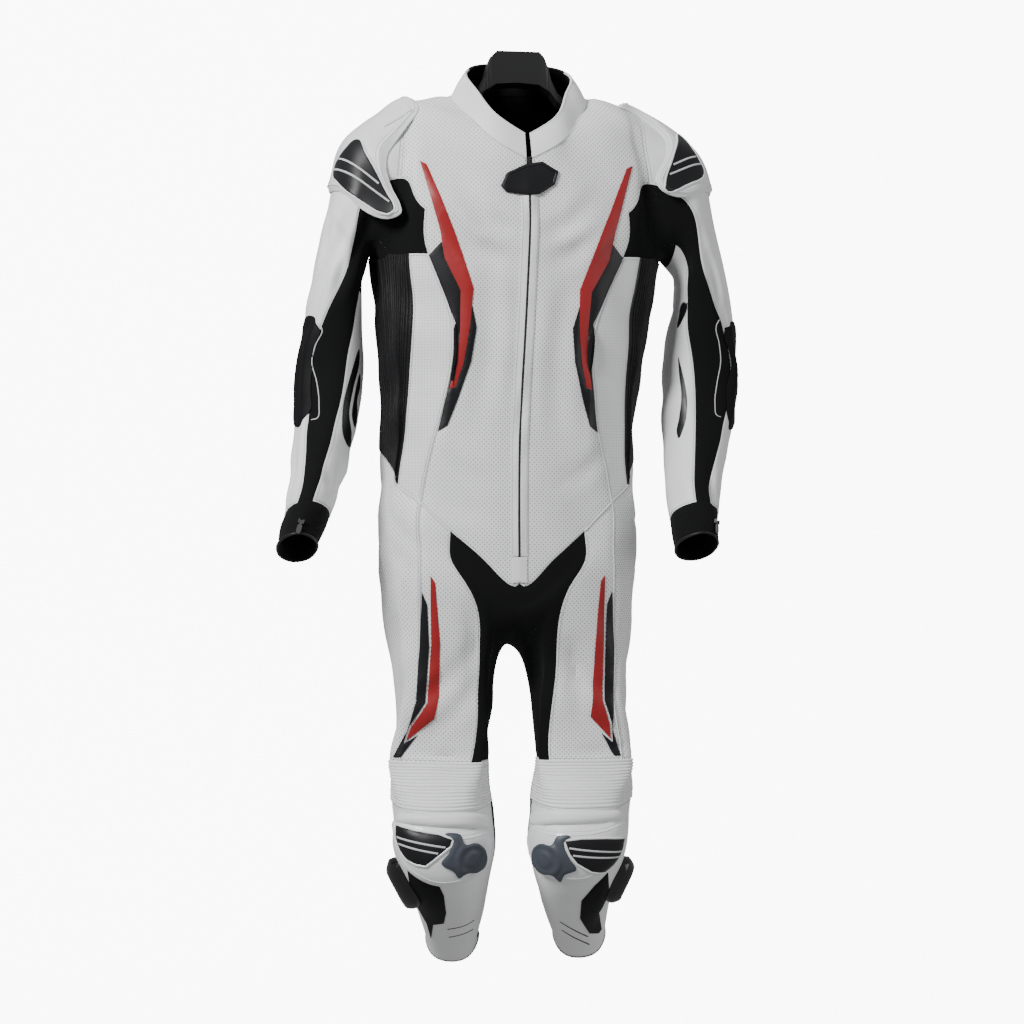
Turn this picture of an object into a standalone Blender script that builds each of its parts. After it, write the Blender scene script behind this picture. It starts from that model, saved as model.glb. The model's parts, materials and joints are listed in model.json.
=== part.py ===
"""A one-piece leather race suit hanging on a broad moulded hanger.

The garment is one coarse net of rings, worked out from tailor's sizes and smoothed by
a Subdivision Surface. The seams are lines of that net, so every cut panel is a block
of it, given its own wall. Pads, inlays and cups are cut out of the same points and
moved out. Lengths in the tables are millimetres; the front faces -Y and the origin
is the seat on top of the hanger's neck block.
"""
import math

import bpy
import numpy as np
from mathutils import Vector
from mathutils.bvhtree import BVHTree
from mathutils.geometry import delaunay_2d_cdt

MM = 0.001
SEAM_GAP = 0.3          # between two pieces sewn together, and under what lies on a panel
LEATHER = 2.0           # leather with its backing
STRETCH = 1.8           # aramid stretch fabric with its backing
CUFF_WALL = 2.8         # neoprene cuff
INLAY = 0.9             # a leather inlay that stands proud of its panel
FIT_ROUNDS = 4          # passes that bring the smooth surface through the table's points
RING_POWER = 2.35       # 2 is an ellipse, more is squarer

# --- torso -----------------------------------------------------------------------------
BODY_RINGS = (          # z, half width, front depth, back depth
    (-291, 205, 112, 118), (-361, 196, 111, 116), (-406, 190, 109, 113),
    (-452, 184, 106, 109), (-497, 180, 103, 106), (-541, 178, 101, 105),
    (-630, 180, 103, 110), (-720, 181, 104, 118), (-764, 178, 102, 118))
FRONT_STRIP_SEAM = (    # z, x of the seam between front and side strip
    (-291, 137), (-353, 109), (-385, 96), (-420, 94), (-455, 98), (-530, 112),
    (-598, 128), (-634, 135))
STRIP_RIB_SEAM = (      # z, x of the seam between side strip and ribbed side
    (-291, 160), (-353, 152), (-410, 153), (-535, 153), (-598, 161), (-634, 166))
BACK_SHARE = (0.93, 0.80, 0.62, 0.42, 0.21, 0.0)    # back columns, share of half width
ZIP_HALF = 3.0          # half of the front opening that the zip fills
TORSO_STEPS = 4         # net rows from waist seam to armpit
WAIST_Z = (-740, -708, -668, -627, -603, -584, -556, -545, -541, -540, -540, -540, -540)
CHEST_Z = (-291,) * 6 + (-286,) + (-291,) * 6
N_COLS = 13             # centre front 0, armhole front 5, side 6, armhole back 7, spine 12

UPPER_ROWS = {          # above the armpit: column: (x, y, z)
    "yoke1": {0: (3, -113, -238), 1: (45, -112, -240), 2: (95, -107, -246),
              3: (141, -93, -233), 4: (160, -82, -202), 5: (174, -70, -187),
              7: (180, 76, -205), 8: (150, 100, -215), 9: (116, 112, -220),
              10: (80, 119, -222), 11: (40, 122, -223), 12: (0, 122, -223)},
    "yoke2": {0: (4, -102, -159), 1: (50, -93, -131), 2: (104, -84, -134),
              3: (131, -76, -129), 4: (151, -66, -125), 5: (168, -53, -122),
              7: (172, 62, -130), 8: (150, 80, -137), 9: (122, 93, -142),
              10: (90, 103, -143), 11: (46, 109, -142), 12: (0, 110, -141)},
    "yoke3": {1: (78, -50, -92), 2: (105, -45, -88), 3: (129, -39, -86),
              4: (149, -33, -88), 5: (168, -25, -92),
              7: (170, 38, -95), 8: (150, 48, -92), 9: (126, 58, -92),
              10: (98, 66, -90), 11: (50, 84, -86), 12: (0, 90, -84)},
    "shoulder": {1: (90, 4, -57), 2: (108, 4, -60), 3: (127, 5, -63),
                 4: (146, 6, -67), 5: (166, 7, -72), 12: (0, 68, -46)}}
SHOULDER_MATE = {11: 1, 10: 2, 9: 3, 8: 4, 7: 5}    # back column that ends on a front one

# --- seat and legs ---------------------------------------------------------------------
LEG_COLS = {"a": (0,), "b": (1,), "c": (2,), "d": (3,), "e": (4, 5), "f": (6,),
            "g": (7, 8), "h": (9, 10), "i": (11,), "j": (12,)}
SEAT_ROWS = {
    "hip": {"a": (0, -102, -769), "b": (46, -103, -742), "c": (91, -99, -711),
            "d": (134, -86, -697), "e": (168, -50, -680), "f": (182, 3, -660),
            "g": (158, 74, -655), "h": (108, 108, -660), "i": (54, 118, -668),
            "j": (0, 116, -675)},
    "fork": {"a": (0, -84, -801), "b": (31, -97, -787), "c": (57, -101, -768),
             "d": (136, -82, -765), "e": (166, -45, -762), "f": (179, 6, -757),
             "g": (152, 82, -762), "h": (102, 114, -774), "i": (50, 112, -789),
             "j": (0, 88, -806), "q": (0, 4, -829)}}
LEG_RINGS = (           # name, z, centre x, centre y, half width, front, back, tilt
    ("thigh1", -848, 93.5, 0, 75, 92, 96, 0),
    ("thigh2", -912, 95, -9, 68, 88, 84, 0),
    ("band_top", -981, 100, -22, 67, 86, 72, 0),
    ("band_low", -1037, 97, -35, 70, 83, 68, 4),
    ("knee", -1096, 93, -40, 71, 82, 62, 20),
    ("shin1", -1146, 89, -4, 58, 66, 54, 42),
    ("shin2", -1202, 90, 68, 47, 52, 46, 48),
    ("ankle", -1258, 94, 146, 39, 44, 42, 48))
LEG_ANGLES = {          # degrees from the front, outward positive: a b c d e f g h i j q
    "thigh1": (-68, -52, -33, 35, 63, 92, 128, 160, 196, 232, 266),
    "thigh2": (-70, -54, -41, 40, 66, 92, 128, 160, 196, 232, 266),
    "band_top": (-80, -62, -47, 58, 76, 94, 128, 160, 196, 228, 256),
    "band_low": (-82, -55, -20, 30, 62, 94, 128, 160, 196, 228, 256),
    "knee": (-84, -52, -18, 26, 60, 94, 128, 160, 196, 226, 252),
    "shin1": (-84, -52, -18, 26, 60, 94, 128, 160, 196, 226, 252),
    "shin2": (-84, -52, -18, 26, 60, 94, 128, 160, 196, 226, 252),
    "ankle": (-84, -52, -18, 26, 60, 94, 128, 160, 196, 226, 252)}

# --- sleeves, each side as it hangs ----------------------------------------------------
SLEEVE_COLS = ("s", "f3", "f2", "f1", "f0", "u", "b0", "b1", "b2", "b3")
ARMHOLE = {"s": ("shoulder", 5), "f3": ("yoke3", 5), "f2": ("yoke2", 5),
           "f1": ("yoke1", 5), "f0": ("chest", 5), "u": ("chest", 6),
           "b0": ("chest", 7), "b1": ("yoke1", 7), "b2": ("yoke2", 7),
           "b3": ("yoke3", 7)}
SLEEVE_RINGS = (        # outer z, inner z, outer and inner x left, right, centre y, depth, tilt
    (-118, -297, 236, 214, 229, 208, 4, 76, 0),
    (-176, -316, 268, 230, 257, 211, 6, 70, 0),
    (-252, -352, 288, 230, 272, 213, 10, 66, 0),
    (-345, -402, 313, 223, 288, 209, 16, 64, 4),
    (-432, -446, 324, 219, 296, 205, 17, 62, 10),
    (-520, -520, 319, 218, 301, 211, -4, 57, 20),
    (-612, -612, 291, 213, 310, 238, -56, 48, 28),
    (-646, -646, 284, 214, 318, 253, -78, 45, 28),
    (-688, -688, 276, 216, 328, 272, -104, 42, 28))
SLEEVE_ANGLES = (       # degrees from the outer side, front positive, columns as above
    (0, 28, 58, 92, 134, 180, 232, 268, 304, 332),
    (0, 32, 64, 100, 140, 180, 232, 268, 302, 332),
    (0, 32, 62, 96, 136, 180, 232, 268, 302, 332),
    (0, 24, 46, 70, 126, 180, 230, 268, 302, 332),
    (0, 16, 31, 47, 114, 172, 226, 268, 302, 332),
    (0, 17, 34, 50, 107, 166, 224, 268, 302, 332),
    (0, 20, 41, 61, 101, 162, 222, 268, 302, 332),
    (0, 20, 41, 61, 101, 162, 222, 268, 302, 332),
    (0, 20, 41, 61, 99, 162, 222, 268, 302, 332))

# --- how it hangs ----------------------------------------------------------------------
LEAN = ((-200, 2), (-300, 0), (-560, -12), (-700, -12), (-900, -9), (-1300, -9))
KNEE_TURN = -11.0       # degrees, both knees turned the same way on the hanger
KNEE_TURN_FROM, KNEE_TURN_TO = -850.0, -985.0
LEG_AXIS = (95.0, -20.0)

# --- ribs and pleats -------------------------------------------------------------------
SIDE_RIBS, SIDE_RIB_H = 9, 1.6
BAND_RIBS, BAND_RIB_H = 15, 1.3

# --- outlines, half side, millimetres (x, z) -------------------------------------------
CHEST_RED = ((147, -165), (138, -170), (102, -259), (73, -339), (75, -390), (81, -440),
             (90, -472), (98, -475), (91, -440), (88, -394), (90, -342), (113, -299),
             (121, -258))
CHEST_BLACK = ((134, -294), (108, -353), (94.5, -386), (92.5, -420), (96.5, -455),
               (110, -532), (98, -524), (85, -486), (71, -438), (66, -392), (73.6, -362),
               (75, -390), (81, -440), (90, -472), (98, -475), (91, -440), (88, -394),
               (90, -342), (113, -299), (118, -276))
THIGH_RED = ((120, -727), (114, -736), (107, -820), (106, -890), (108, -922),
             (141, -953), (137, -933), (121, -900), (119, -820), (120, -760))
THIGH_BLACK = ((131, -750), (124, -767), (121.5, -825), (123.5, -900), (139.5, -932),
               (144, -957), (127, -945), (147, -976), (157, -976), (142, -940),
               (136.5, -898), (134.5, -824), (133, -790))
THROAT_FLAP = ((0, -167), (24, -168), (39, -184), (33, -203), (16, -212), (0, -214),
               (-16, -212), (-33, -203), (-39, -184), (-24, -168))
CUP_FRONT = {           # the right arm hangs lower, and its cup with it
    "r": ((144, -78), (145, -93), (157, -115), (183, -146), (190, -163), (188, -180),
          (179, -205), (166, -231), (163, -245), (173, -256), (197, -249),
          (223, -232), (241, -214)),
    "l": ((142, -76), (163, -82), (184, -98), (199, -118), (200, -137), (193, -155),
          (177, -179), (166, -200), (168, -215), (184, -222), (214, -212),
          (244, -198))}
CUP_BACK = ((248, -194), (228, -190), (206, -168), (190, -138), (172, -102), (158, -86))
CUP_EYE = (60, 50, -330)            # the point a shoulder cup is drawn from
CUP_WAY = (0.58, -0.20, 0.74)
KNEE_MIDDLE = 93.0      # knee outlines are (outward from the leg's middle, z)
KNEE_ROLL = ((62, -1058), (58, -1050), (40, -1046), (8, -1045), (-25, -1045),
             (-48, -1048), (-60, -1056), (-62, -1068), (-30, -1065), (20, -1062))
KNEE_CUP = ((66, -1062), (20, -1066), (-30, -1069), (-62, -1072), (-66, -1088),
            (-62, -1114), (-44, -1134), (-14, -1144), (6, -1144), (34, -1133),
            (54, -1114), (63, -1086))
KNEE_PIECE = ((-8, -1077), (-17, -1085), (-6, -1104), (-3, -1117), (-22, -1134),
              (-38, -1125), (-52, -1119), (-60, -1105), (-54, -1091), (-40, -1086),
              (-30, -1076))
SLIDER_HALF = (58, 92)  # half width and half height in the drawing from inside
SLIDER_CENTRE = (90, -16, -1141)
SLIDER_WAY = (0.93, -0.30, -0.22)
SLIDER_CORNERS = 10
KNEE_EYE = (40, -1085)  # y and z of the point that the knee outlines are drawn from
ELBOW_PAD = ((-38, -388), (-20, -374), (10, -372), (40, -392), (50, -430), (40, -474),
             (14, -508), (-20, -524), (-46, -524), (-56, -514), (-44, -480), (-36, -458),
             (-28, -424))

# --- what lies on the panels: edge, crown, crown reached this far in, point spacing ------
FORMS = {
    "shoulder_cup": (1.6, 4.0, 9.0, 24.0), "knee_cup": (1.6, 5.0, 14.0, 30.0),
    "knee_roll": (1.4, 4.5, 4.0, 14.0), "knee_rubber": (2.0, 2.0, 6.0, 0.0),
    "knee_slider": (9.0, 11.0, 34.0, 34.0), "elbow_pad": (1.4, 2.6, 10.0, 0.0),
    "throat_flap": (2.4, 1.4, 5.0, 0.0)}
CUP_BRIDGE = 40         # passes that draw a cup straight across the armhole

# --- hanger ----------------------------------------------------------------------------
HANGER_TOP = ((0, 0), (30, 0), (37, -6), (42, -18), (46, -34), (56, -52), (68, -61),
              (84, -68))
HANGER_BOTTOM = ((0, -48), (30, -50), (46, -60), (60, -78), (90, -94))
HANGER_ROUND = (30, 14) # how far the long edges drop: nothing at this x, then at the end
HANGER_ARM_X = (98, 111, 124, 137, 150)
HANGER_DEPTH = 20       # half depth of the arms
HANGER_THICK = 26
HANGER_CLEAR = 0.4      # under the lining of the shoulders
HANGER_LOOK = 7.0

# --- collar, zips ----------------------------------------------------------------------
COLLAR_WALL = 3.2
COLLAR_SWELL = 1.2
COLLAR_AXIS_Y = 12.0
COLLAR_FRONT_Y, COLLAR_BACK_Y = -102.0, 68.0
COLLAR_HEIGHT = ((0.0, 0.3, 0.62, 1.0), (36, 38, 40, 42))
COLLAR_LEAN = ((0.0, 0.3, 0.62, 1.0), (22, 30, 30, 10))
ZIP_WALL = 1.6
CUFF_PULL = {"l": (256, -655), "r": (-309, -655)}
CUFF_WAY = {"l": (-8, -48, -76), "r": (-26, -48, -76)}
PULL_AXIS_UP = 3.1      # height of the pull's axis over the cuff
PULL_HALF = 0.7         # half its thickness
PULL_FORM = ((-1.6, -0.7), (1.6, -0.7), (1.6, 4.6), (3.2, 6.0), (3.2, 15.0), (1.8, 18.0),
             (-1.8, 18.0), (-3.2, 15.0), (-3.2, 6.0), (-1.6, 4.6))  # across, down
SLIDER_FORM = ((-4.0, 0.4), (4.0, 0.4), (4.0, 4.6), (2.0, 4.6), (2.0, 2.0), (-2.0, 2.0),
               (-2.0, 4.6), (-4.0, 4.6))    # across, out: a base with two lugs
SLIDER_REACH = 3.0      # half its length


def clear_scene():
    """Start from nothing."""
    for old in list(bpy.data.objects):
        bpy.data.objects.remove(old, do_unlink=True)


def material(name, colour, roughness, metallic=0.0):
    """A plain Principled finish."""
    finish = bpy.data.materials.new(name)
    finish.use_nodes = True
    shader = finish.node_tree.nodes["Principled BSDF"]
    shader.inputs["Base Color"].default_value = (*colour, 1.0)
    shader.inputs["Roughness"].default_value = roughness
    shader.inputs["Metallic"].default_value = metallic
    return finish


def lookup(table, at, column=1):
    """Read a short table (its first column falls) at a value, straight between rows."""
    keys = [-row[0] for row in table]
    return float(np.interp(-at, keys, [row[column] for row in table]))


def ring_depth(x, half, depth):
    """Depth of a squarish ring at a distance x from its middle."""
    share = min(abs(x) / half, 1.0)
    return depth * (1.0 - share ** RING_POWER) ** (1.0 / RING_POWER)


def torso_point(col, z, opening):
    """A point of the body below the armpit."""
    half, front, back = (lookup(BODY_RINGS, z, c) for c in (1, 2, 3))
    if col <= 5:
        x = (opening, 45.0, 92.0, lookup(FRONT_STRIP_SEAM, z), lookup(STRIP_RIB_SEAM, z),
             0.91 * half)[col]
        if col == 5:
            x = max(x, lookup(STRIP_RIB_SEAM, z) + 6.0)
        return (x, -ring_depth(x, half, front), z)
    if col == 6:
        return (half, 3.0, z)
    x = BACK_SHARE[col - 7] * half
    return (x, ring_depth(x, half, back), z)


def ring_point(centre, half, front, back, tilt, angle):
    """A point of a leg's ring: the angle runs from the front to the outer side."""
    turn, lean = math.radians(angle), math.radians(tilt)
    depth = front if math.cos(turn) > 0 else back
    reach = depth * math.cos(turn)
    return (centre[0] + half * math.sin(turn),
            centre[1] - reach * math.cos(lean),
            centre[2] - reach * math.sin(lean))


class Net:
    """The coarse net: points by key, faces with the panel that they belong to."""

    def __init__(self):
        self.points, self.keys, self.faces, self.panels, self.grid = [], {}, [], [], []

    def point(self, key, xyz=None):
        """The number of a net point, made when it is first named."""
        if key not in self.keys:
            self.keys[key] = len(self.points)
            self.points.append(xyz)
        return self.keys[key]

    def face(self, corners, panel, grid, flip):
        """A face, wound so that it faces out."""
        order = range(len(corners) - 1, -1, -1) if flip else range(len(corners))
        self.faces.append([corners[i] for i in order])
        self.grid.append([grid[i] for i in order])
        self.panels.append(panel)


def torso_panel(row, col):
    """The cut panel of a torso face, by its net row and its first column."""
    if row >= TORSO_STEPS:                       # above the armpit
        if col >= 7:
            return "yoke_back" if row >= TORSO_STEPS + 2 else "back_panel"
        if row == TORSO_STEPS and col in (3, 4):
            return "chest_stretch"
        return "front_panel"
    if col >= 7:
        return "back_panel"
    return ("front_panel", "front_panel", "front_panel", "side_strip")[col] \
        if col < 4 else "side_rib"


def leg_panel(row, col):
    """The cut panel of a seat or leg face."""
    if row == "shin":
        return "knee_shin" if col in "abcde" else "calf_stretch"
    if row == "band":
        return "knee_band" if col in "abcde" else "calf_stretch"
    if row == "seat":
        return "inner_stretch" if col in "ab" else \
            ("leg_front" if col == "c" else "leg_side")
    if col in "ijqab":
        return "inner_stretch"
    return "leg_front" if col == "c" else "leg_side"


ONE_PIECE = ("back_panel", "yoke_back", "inner_stretch")
PLAIN_INSIDE = ("back_panel", "leg_side", "sleeve_outer")


def build_net():
    """The whole garment as one coarse net, left and right."""
    net = Net()
    for side, sign in (("l", 1.0), ("r", -1.0)):
        def put(row, col, xyz):
            """A body point; those on the middle plane are shared."""
            owner = "mid" if abs(xyz[0]) < 0.01 else side
            return net.point((owner, row, col), (sign * xyz[0], xyz[1], xyz[2]))

        def name_of(panel):
            return panel if panel in ONE_PIECE else panel + "_" + side

        rows = []
        for step in range(TORSO_STEPS + 1):
            share = step / TORSO_STEPS
            row_name = {0: "waist", TORSO_STEPS: "chest"}.get(step, "torso%d" % step)
            row = {}
            for col in range(N_COLS):
                z = WAIST_Z[col] + (CHEST_Z[col] - WAIST_Z[col]) * share
                point = torso_point(col, z, 0.0 if step == 0 else ZIP_HALF)
                row[col] = put(row_name, col, point)
            rows.append(row)
        for row_name, cells in UPPER_ROWS.items():
            rows.append({col: put(row_name, col, xyz) for col, xyz in cells.items()})
        for back_col, front_col in SHOULDER_MATE.items():
            rows[-1][back_col] = rows[-1][front_col]
        for number, (low, high) in enumerate(zip(rows, rows[1:])):
            for col in range(N_COLS - 1):
                if all(c in line for line in (low, high) for c in (col, col + 1)):
                    grid = [(col, number), (col + 1, number),
                            (col + 1, number + 1), (col, number + 1)]
                    corners = [low[col], low[col + 1], high[col + 1], high[col]]
                    net.face(corners, name_of(torso_panel(number, col)), grid, sign < 0)

        waist = rows[0]
        letters = "abcdefghij"
        seat = {row: {c: put(row, c, xyz) for c, xyz in cells.items()}
                for row, cells in SEAT_ROWS.items()}
        for c, after in zip(letters, letters[1:]):
            top = [waist[k] for k in LEG_COLS[c]] + [waist[LEG_COLS[after][0]]]
            grid = [(0, 0)] * 4
            net.face([seat["hip"][c], seat["hip"][after], top[-1], top[-2]],
                     name_of(leg_panel("seat", c)), grid, sign < 0)
            if len(top) == 3:
                net.face([seat["hip"][c], top[1], top[0]],
                         name_of(leg_panel("seat", c)), grid[:3], sign < 0)
            net.face([seat["fork"][c], seat["fork"][after],
                      seat["hip"][after], seat["hip"][c]],
                     name_of(leg_panel("seat", c)), grid, sign < 0)
        rings = [seat["fork"]]
        for ring in LEG_RINGS:
            angles = dict(zip(letters + "q", LEG_ANGLES[ring[0]]))
            rings.append({c: put(ring[0], c, ring_point((ring[2], ring[3], ring[1]),
                                                        *ring[4:8], angles[c]))
                          for c in letters + "q"})
        loop = letters + "q"
        for number, (high, low) in enumerate(zip(rings, rings[1:])):
            zone = ("leg", "leg", "leg", "band")[number] if number < 4 else "shin"
            for k, c in enumerate(loop):
                after = loop[(k + 1) % len(loop)]
                grid = [(k, -number - 1), (k + 1, -number - 1), (k + 1, -number),
                        (k, -number)]
                net.face([low[c], low[after], high[after], high[c]],
                         name_of(leg_panel(zone, c)), grid, sign < 0)

        ring = [rows[-1][5] if c == "s" else net.keys[(side,) + ARMHOLE[c]]
                for c in SLEEVE_COLS]
        for number, (sizes, angles) in enumerate(zip(SLEEVE_RINGS, SLEEVE_ANGLES)):
            outer_z, inner_z = sizes[:2]
            outer_x, inner_x = sizes[2:4] if side == "l" else sizes[4:6]
            centre_y, depth, tilt = sizes[6:]
            lean = math.radians(tilt)
            low = []
            for c, angle in zip(SLEEVE_COLS, angles):
                turn = math.radians(angle)
                across, reach = math.cos(turn), depth * math.sin(turn)
                x = (outer_x + inner_x) / 2 + (outer_x - inner_x) / 2 * across
                z = (outer_z + inner_z) / 2 + (outer_z - inner_z) / 2 * across
                low.append(net.point((side, "sleeve%d" % number, c),
                                     (sign * x, centre_y - reach * math.cos(lean),
                                      z + reach * math.sin(lean))))
            for k in range(len(SLEEVE_COLS)):
                after = (k + 1) % len(SLEEVE_COLS)
                c = SLEEVE_COLS[k]
                if number == len(SLEEVE_RINGS) - 1:
                    panel = "cuff_" + side
                else:
                    panel = {"f1": "sleeve_stretch_", "f0": "sleeve_inner_",
                             "u": "sleeve_inner_", "b0": "sleeve_inner_"}.get(
                                 c, "sleeve_outer_") + side
                grid = [(k, -number), (k + 1, -number), (k + 1, -number - 1),
                        (k, -number - 1)]
                net.face([ring[k], ring[after], low[after], low[k]], panel, grid,
                         sign < 0)
            ring = low
    return net


def hang(point):
    """Turn the knees and lean the body as the suit hangs."""
    x, y, z = point
    share = (KNEE_TURN_FROM - z) / (KNEE_TURN_FROM - KNEE_TURN_TO)
    share = min(max(share, 0.0), 1.0)
    turn = math.radians(KNEE_TURN) * share * share * (3.0 - 2.0 * share)
    axis_x = math.copysign(LEG_AXIS[0], x)
    dx, dy = x - axis_x, y - LEG_AXIS[1]
    if z < KNEE_TURN_FROM:
        x = axis_x + dx * math.cos(turn) - dy * math.sin(turn)
        y = LEG_AXIS[1] + dx * math.sin(turn) + dy * math.cos(turn)
    return (x + lookup(LEAN, z), y, z)


def smooth(points, net):
    """One Subdivision Surface step of the net, its points on the limit surface."""
    mesh = bpy.data.meshes.new("net")
    mesh.from_pydata([Vector(p) for p in points], [], net.faces)
    tag = mesh.attributes.new("panel", "INT", "FACE")
    names = sorted(set(net.panels))
    tag.data.foreach_set("value", [names.index(p) for p in net.panels])
    layer = mesh.uv_layers.new(name="grid")
    for face, cells in zip(mesh.polygons, net.grid):
        for loop, cell in zip(face.loop_indices, cells):
            layer.data[loop].uv = cell
    holder = bpy.data.objects.new("net", mesh)
    bpy.context.collection.objects.link(holder)
    modifier = holder.modifiers.new("smooth", "SUBSURF")
    modifier.levels = modifier.render_levels = 1
    modifier.uv_smooth = "NONE"
    modifier.boundary_smooth = "PRESERVE_CORNERS"
    modifier.use_limit_surface = True
    graph = bpy.context.evaluated_depsgraph_get()
    result = holder.evaluated_get(graph).to_mesh()
    flat = np.empty(len(result.vertices) * 3)
    result.vertices.foreach_get("co", flat)
    tags = [0] * len(result.polygons)
    result.attributes["panel"].data.foreach_get("value", tags)
    faces = [tuple(face.vertices) for face in result.polygons]
    cells = result.uv_layers["grid"].data
    grid = [[tuple(round(v * 2) for v in cells[i].uv) for i in face.loop_indices]
            for face in result.polygons]
    bpy.data.objects.remove(holder, do_unlink=True)
    bpy.data.meshes.remove(mesh)
    return flat.reshape(-1, 3), faces, [names[t] for t in tags], grid


class Surface:
    """Triangles with a smooth normal at each point."""

    def __init__(self, points, normals, triangles):
        self.points, self.normals, self.triangles = points, normals, triangles
        self.tree = BVHTree.FromPolygons([Vector(p) for p in points], triangles)

    def hit(self, origin, direction):
        """First point on a ray, with its smooth normal."""
        place, _, number, _ = self.tree.ray_cast(Vector(origin), Vector(direction))
        if place is None:
            place, _, number, _ = self.tree.find_nearest(
                Vector(origin) + Vector(direction) * 10.0)
        corners = self.triangles[number]
        a, b, c = (self.points[k] for k in corners)
        place = np.array(place)
        v0, v1, v2 = b - a, c - a, place - a
        d00, d01, d11 = v0 @ v0, v0 @ v1, v1 @ v1
        d20, d21 = v2 @ v0, v2 @ v1
        scale = d00 * d11 - d01 * d01
        share_b = (d11 * d20 - d01 * d21) / scale
        share_c = (d00 * d21 - d01 * d20) / scale
        shares = (1.0 - share_b - share_c, share_b, share_c)
        normal = sum(s * self.normals[k] for s, k in zip(shares, corners))
        return place, normal / np.linalg.norm(normal)


def split(face):
    """A face as triangles, always along the same diagonal."""
    return [(face[0], face[k], face[k + 1]) for k in range(1, len(face) - 1)]


class Garment:
    """The smooth garment: its points, normals and the faces of each panel."""

    def __init__(self):
        net = build_net()
        self.keys = net.keys
        target = np.array([hang(p) for p in net.points])
        cage = target.copy()
        for _ in range(FIT_ROUNDS):
            points = smooth(cage, net)[0]
            cage += target - points[:len(target)]
        self.points, self.faces, self.tags, self.grid = smooth(cage, net)
        self.net_size = len(net.points)
        self.parts, first = [], 0                # the faces made from each net face
        for corners in net.faces:
            self.parts.append(list(range(first, first + len(corners))))
            first += len(corners)
        self.normals = np.zeros_like(self.points)
        for face in self.faces:
            for a, b, c in split(face):
                turn = np.cross(self.points[b] - self.points[a],
                                self.points[c] - self.points[a])
                for k in face:
                    self.normals[k] += turn
        self.normals /= np.linalg.norm(self.normals, axis=1)[:, None]

    def of(self, *panels):
        """Numbers of the faces of some panels."""
        return [k for k, tag in enumerate(self.tags) if tag in panels]

    def surface(self, *panels):
        """Some panels as one surface to lay pieces on."""
        triangles = [t for k in self.of(*panels) for t in split(self.faces[k])]
        return Surface(self.points, self.normals, triangles)


def rim_of(triangles):
    """The border edges of a patch, in the direction of its faces."""
    edges = {}
    for corners in triangles:
        for k, a in enumerate(corners):
            edges[(a, corners[(k + 1) % len(corners)])] = True
    return [e for e in edges if (e[1], e[0]) not in edges]


def draw_in(points, normals, rim, distance):
    """Move a patch's border in along the surface."""
    inward = {}
    for a, b in rim:
        along = points[b] - points[a]
        for k in (a, b):
            side = np.cross(normals[k], along)
            inward.setdefault(k, []).append(side / np.linalg.norm(side))
    moved = points.copy()
    for k, sides in inward.items():
        total = sum(sides[:2])
        moved[k] += distance * total / max(1.0 + sides[0] @ sides[-1], 0.5)
    return moved


def make_object(name, points, faces, finish, smooth_faces=True):
    """An object in metres from millimetre points."""
    used = sorted({k for face in faces for k in face})
    renumber = {k: n for n, k in enumerate(used)}
    mesh = bpy.data.meshes.new(name)
    mesh.from_pydata([Vector(points[k]) * MM for k in used], [],
                     [[renumber[k] for k in face] for face in faces])
    mesh.materials.append(finish)
    if smooth_faces:
        mesh.shade_smooth()
        mesh.set_sharp_from_angle(angle=math.radians(50))
    piece = bpy.data.objects.new(name, mesh)
    bpy.context.collection.objects.link(piece)
    return piece


def shell(name, points, normals, triangles, wall, finish, lining=None):
    """A patch as a closed wall: its own face outside, the same points moved in.

    lining may give plainer triangles for the inside, over the same border.
    """
    rim = rim_of(triangles)
    outer = draw_in(points, normals, rim, SEAM_GAP / 2)
    inner = outer - normals * wall
    count = len(points)
    both = np.vstack([outer, inner])
    faces = list(triangles)
    faces += [tuple(k + count for k in reversed(t)) for t in lining or triangles]
    for a, b in rim:
        if a < b:                                # both neighbours split it the same way
            faces += [(b, a, a + count), (b, a + count, b + count)]
        else:
            faces += [(b, a, b + count), (a, a + count, b + count)]
    return make_object(name, both, faces, finish)


def plain_lining(garment, name):
    """A panel's inside without the points that smoothing put in its middle."""
    faces = garment.of(name)
    rim = {k for edge in rim_of([t for f in faces for t in split(garment.faces[f])])
           for k in edge}
    result = []
    for parts in garment.parts:
        if parts[0] not in faces:
            continue
        edges = rim_of([garment.faces[part] for part in parts])
        follow = dict(edges)
        start = edges[0][0]
        line, at = [start], follow[start]
        while at != start:
            line.append(at)
            at = follow[at]
        line = [k for k in line if k < garment.net_size or k in rim]
        middles = [n for n, k in enumerate(line) if k >= garment.net_size]
        first = middles[0] if middles else 0
        result += split(line[first:] + line[:first])
    return result


def panel_shell(garment, name, wall, finish):
    """A cut panel of the garment."""
    triangles = [t for k in garment.of(name) for t in split(garment.faces[k])]
    lining = plain_lining(garment, name) if name.startswith(PLAIN_INSIDE) else None
    return shell(name, garment.points, garment.normals, triangles, wall, finish, lining)


def resample(line, count):
    """Points and normals along a broken line, the same number between its corners."""
    points = np.array([p for p, _ in line])
    normals = np.array([n for _, n in line])
    corners = np.arange(len(line))
    at = np.linspace(0, len(line) - 1, count)
    place = np.stack([np.interp(at, corners, points[:, c]) for c in range(3)], axis=1)
    facing = np.stack([np.interp(at, corners, normals[:, c]) for c in range(3)], axis=1)
    return place, facing / np.linalg.norm(facing, axis=1)[:, None]


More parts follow.
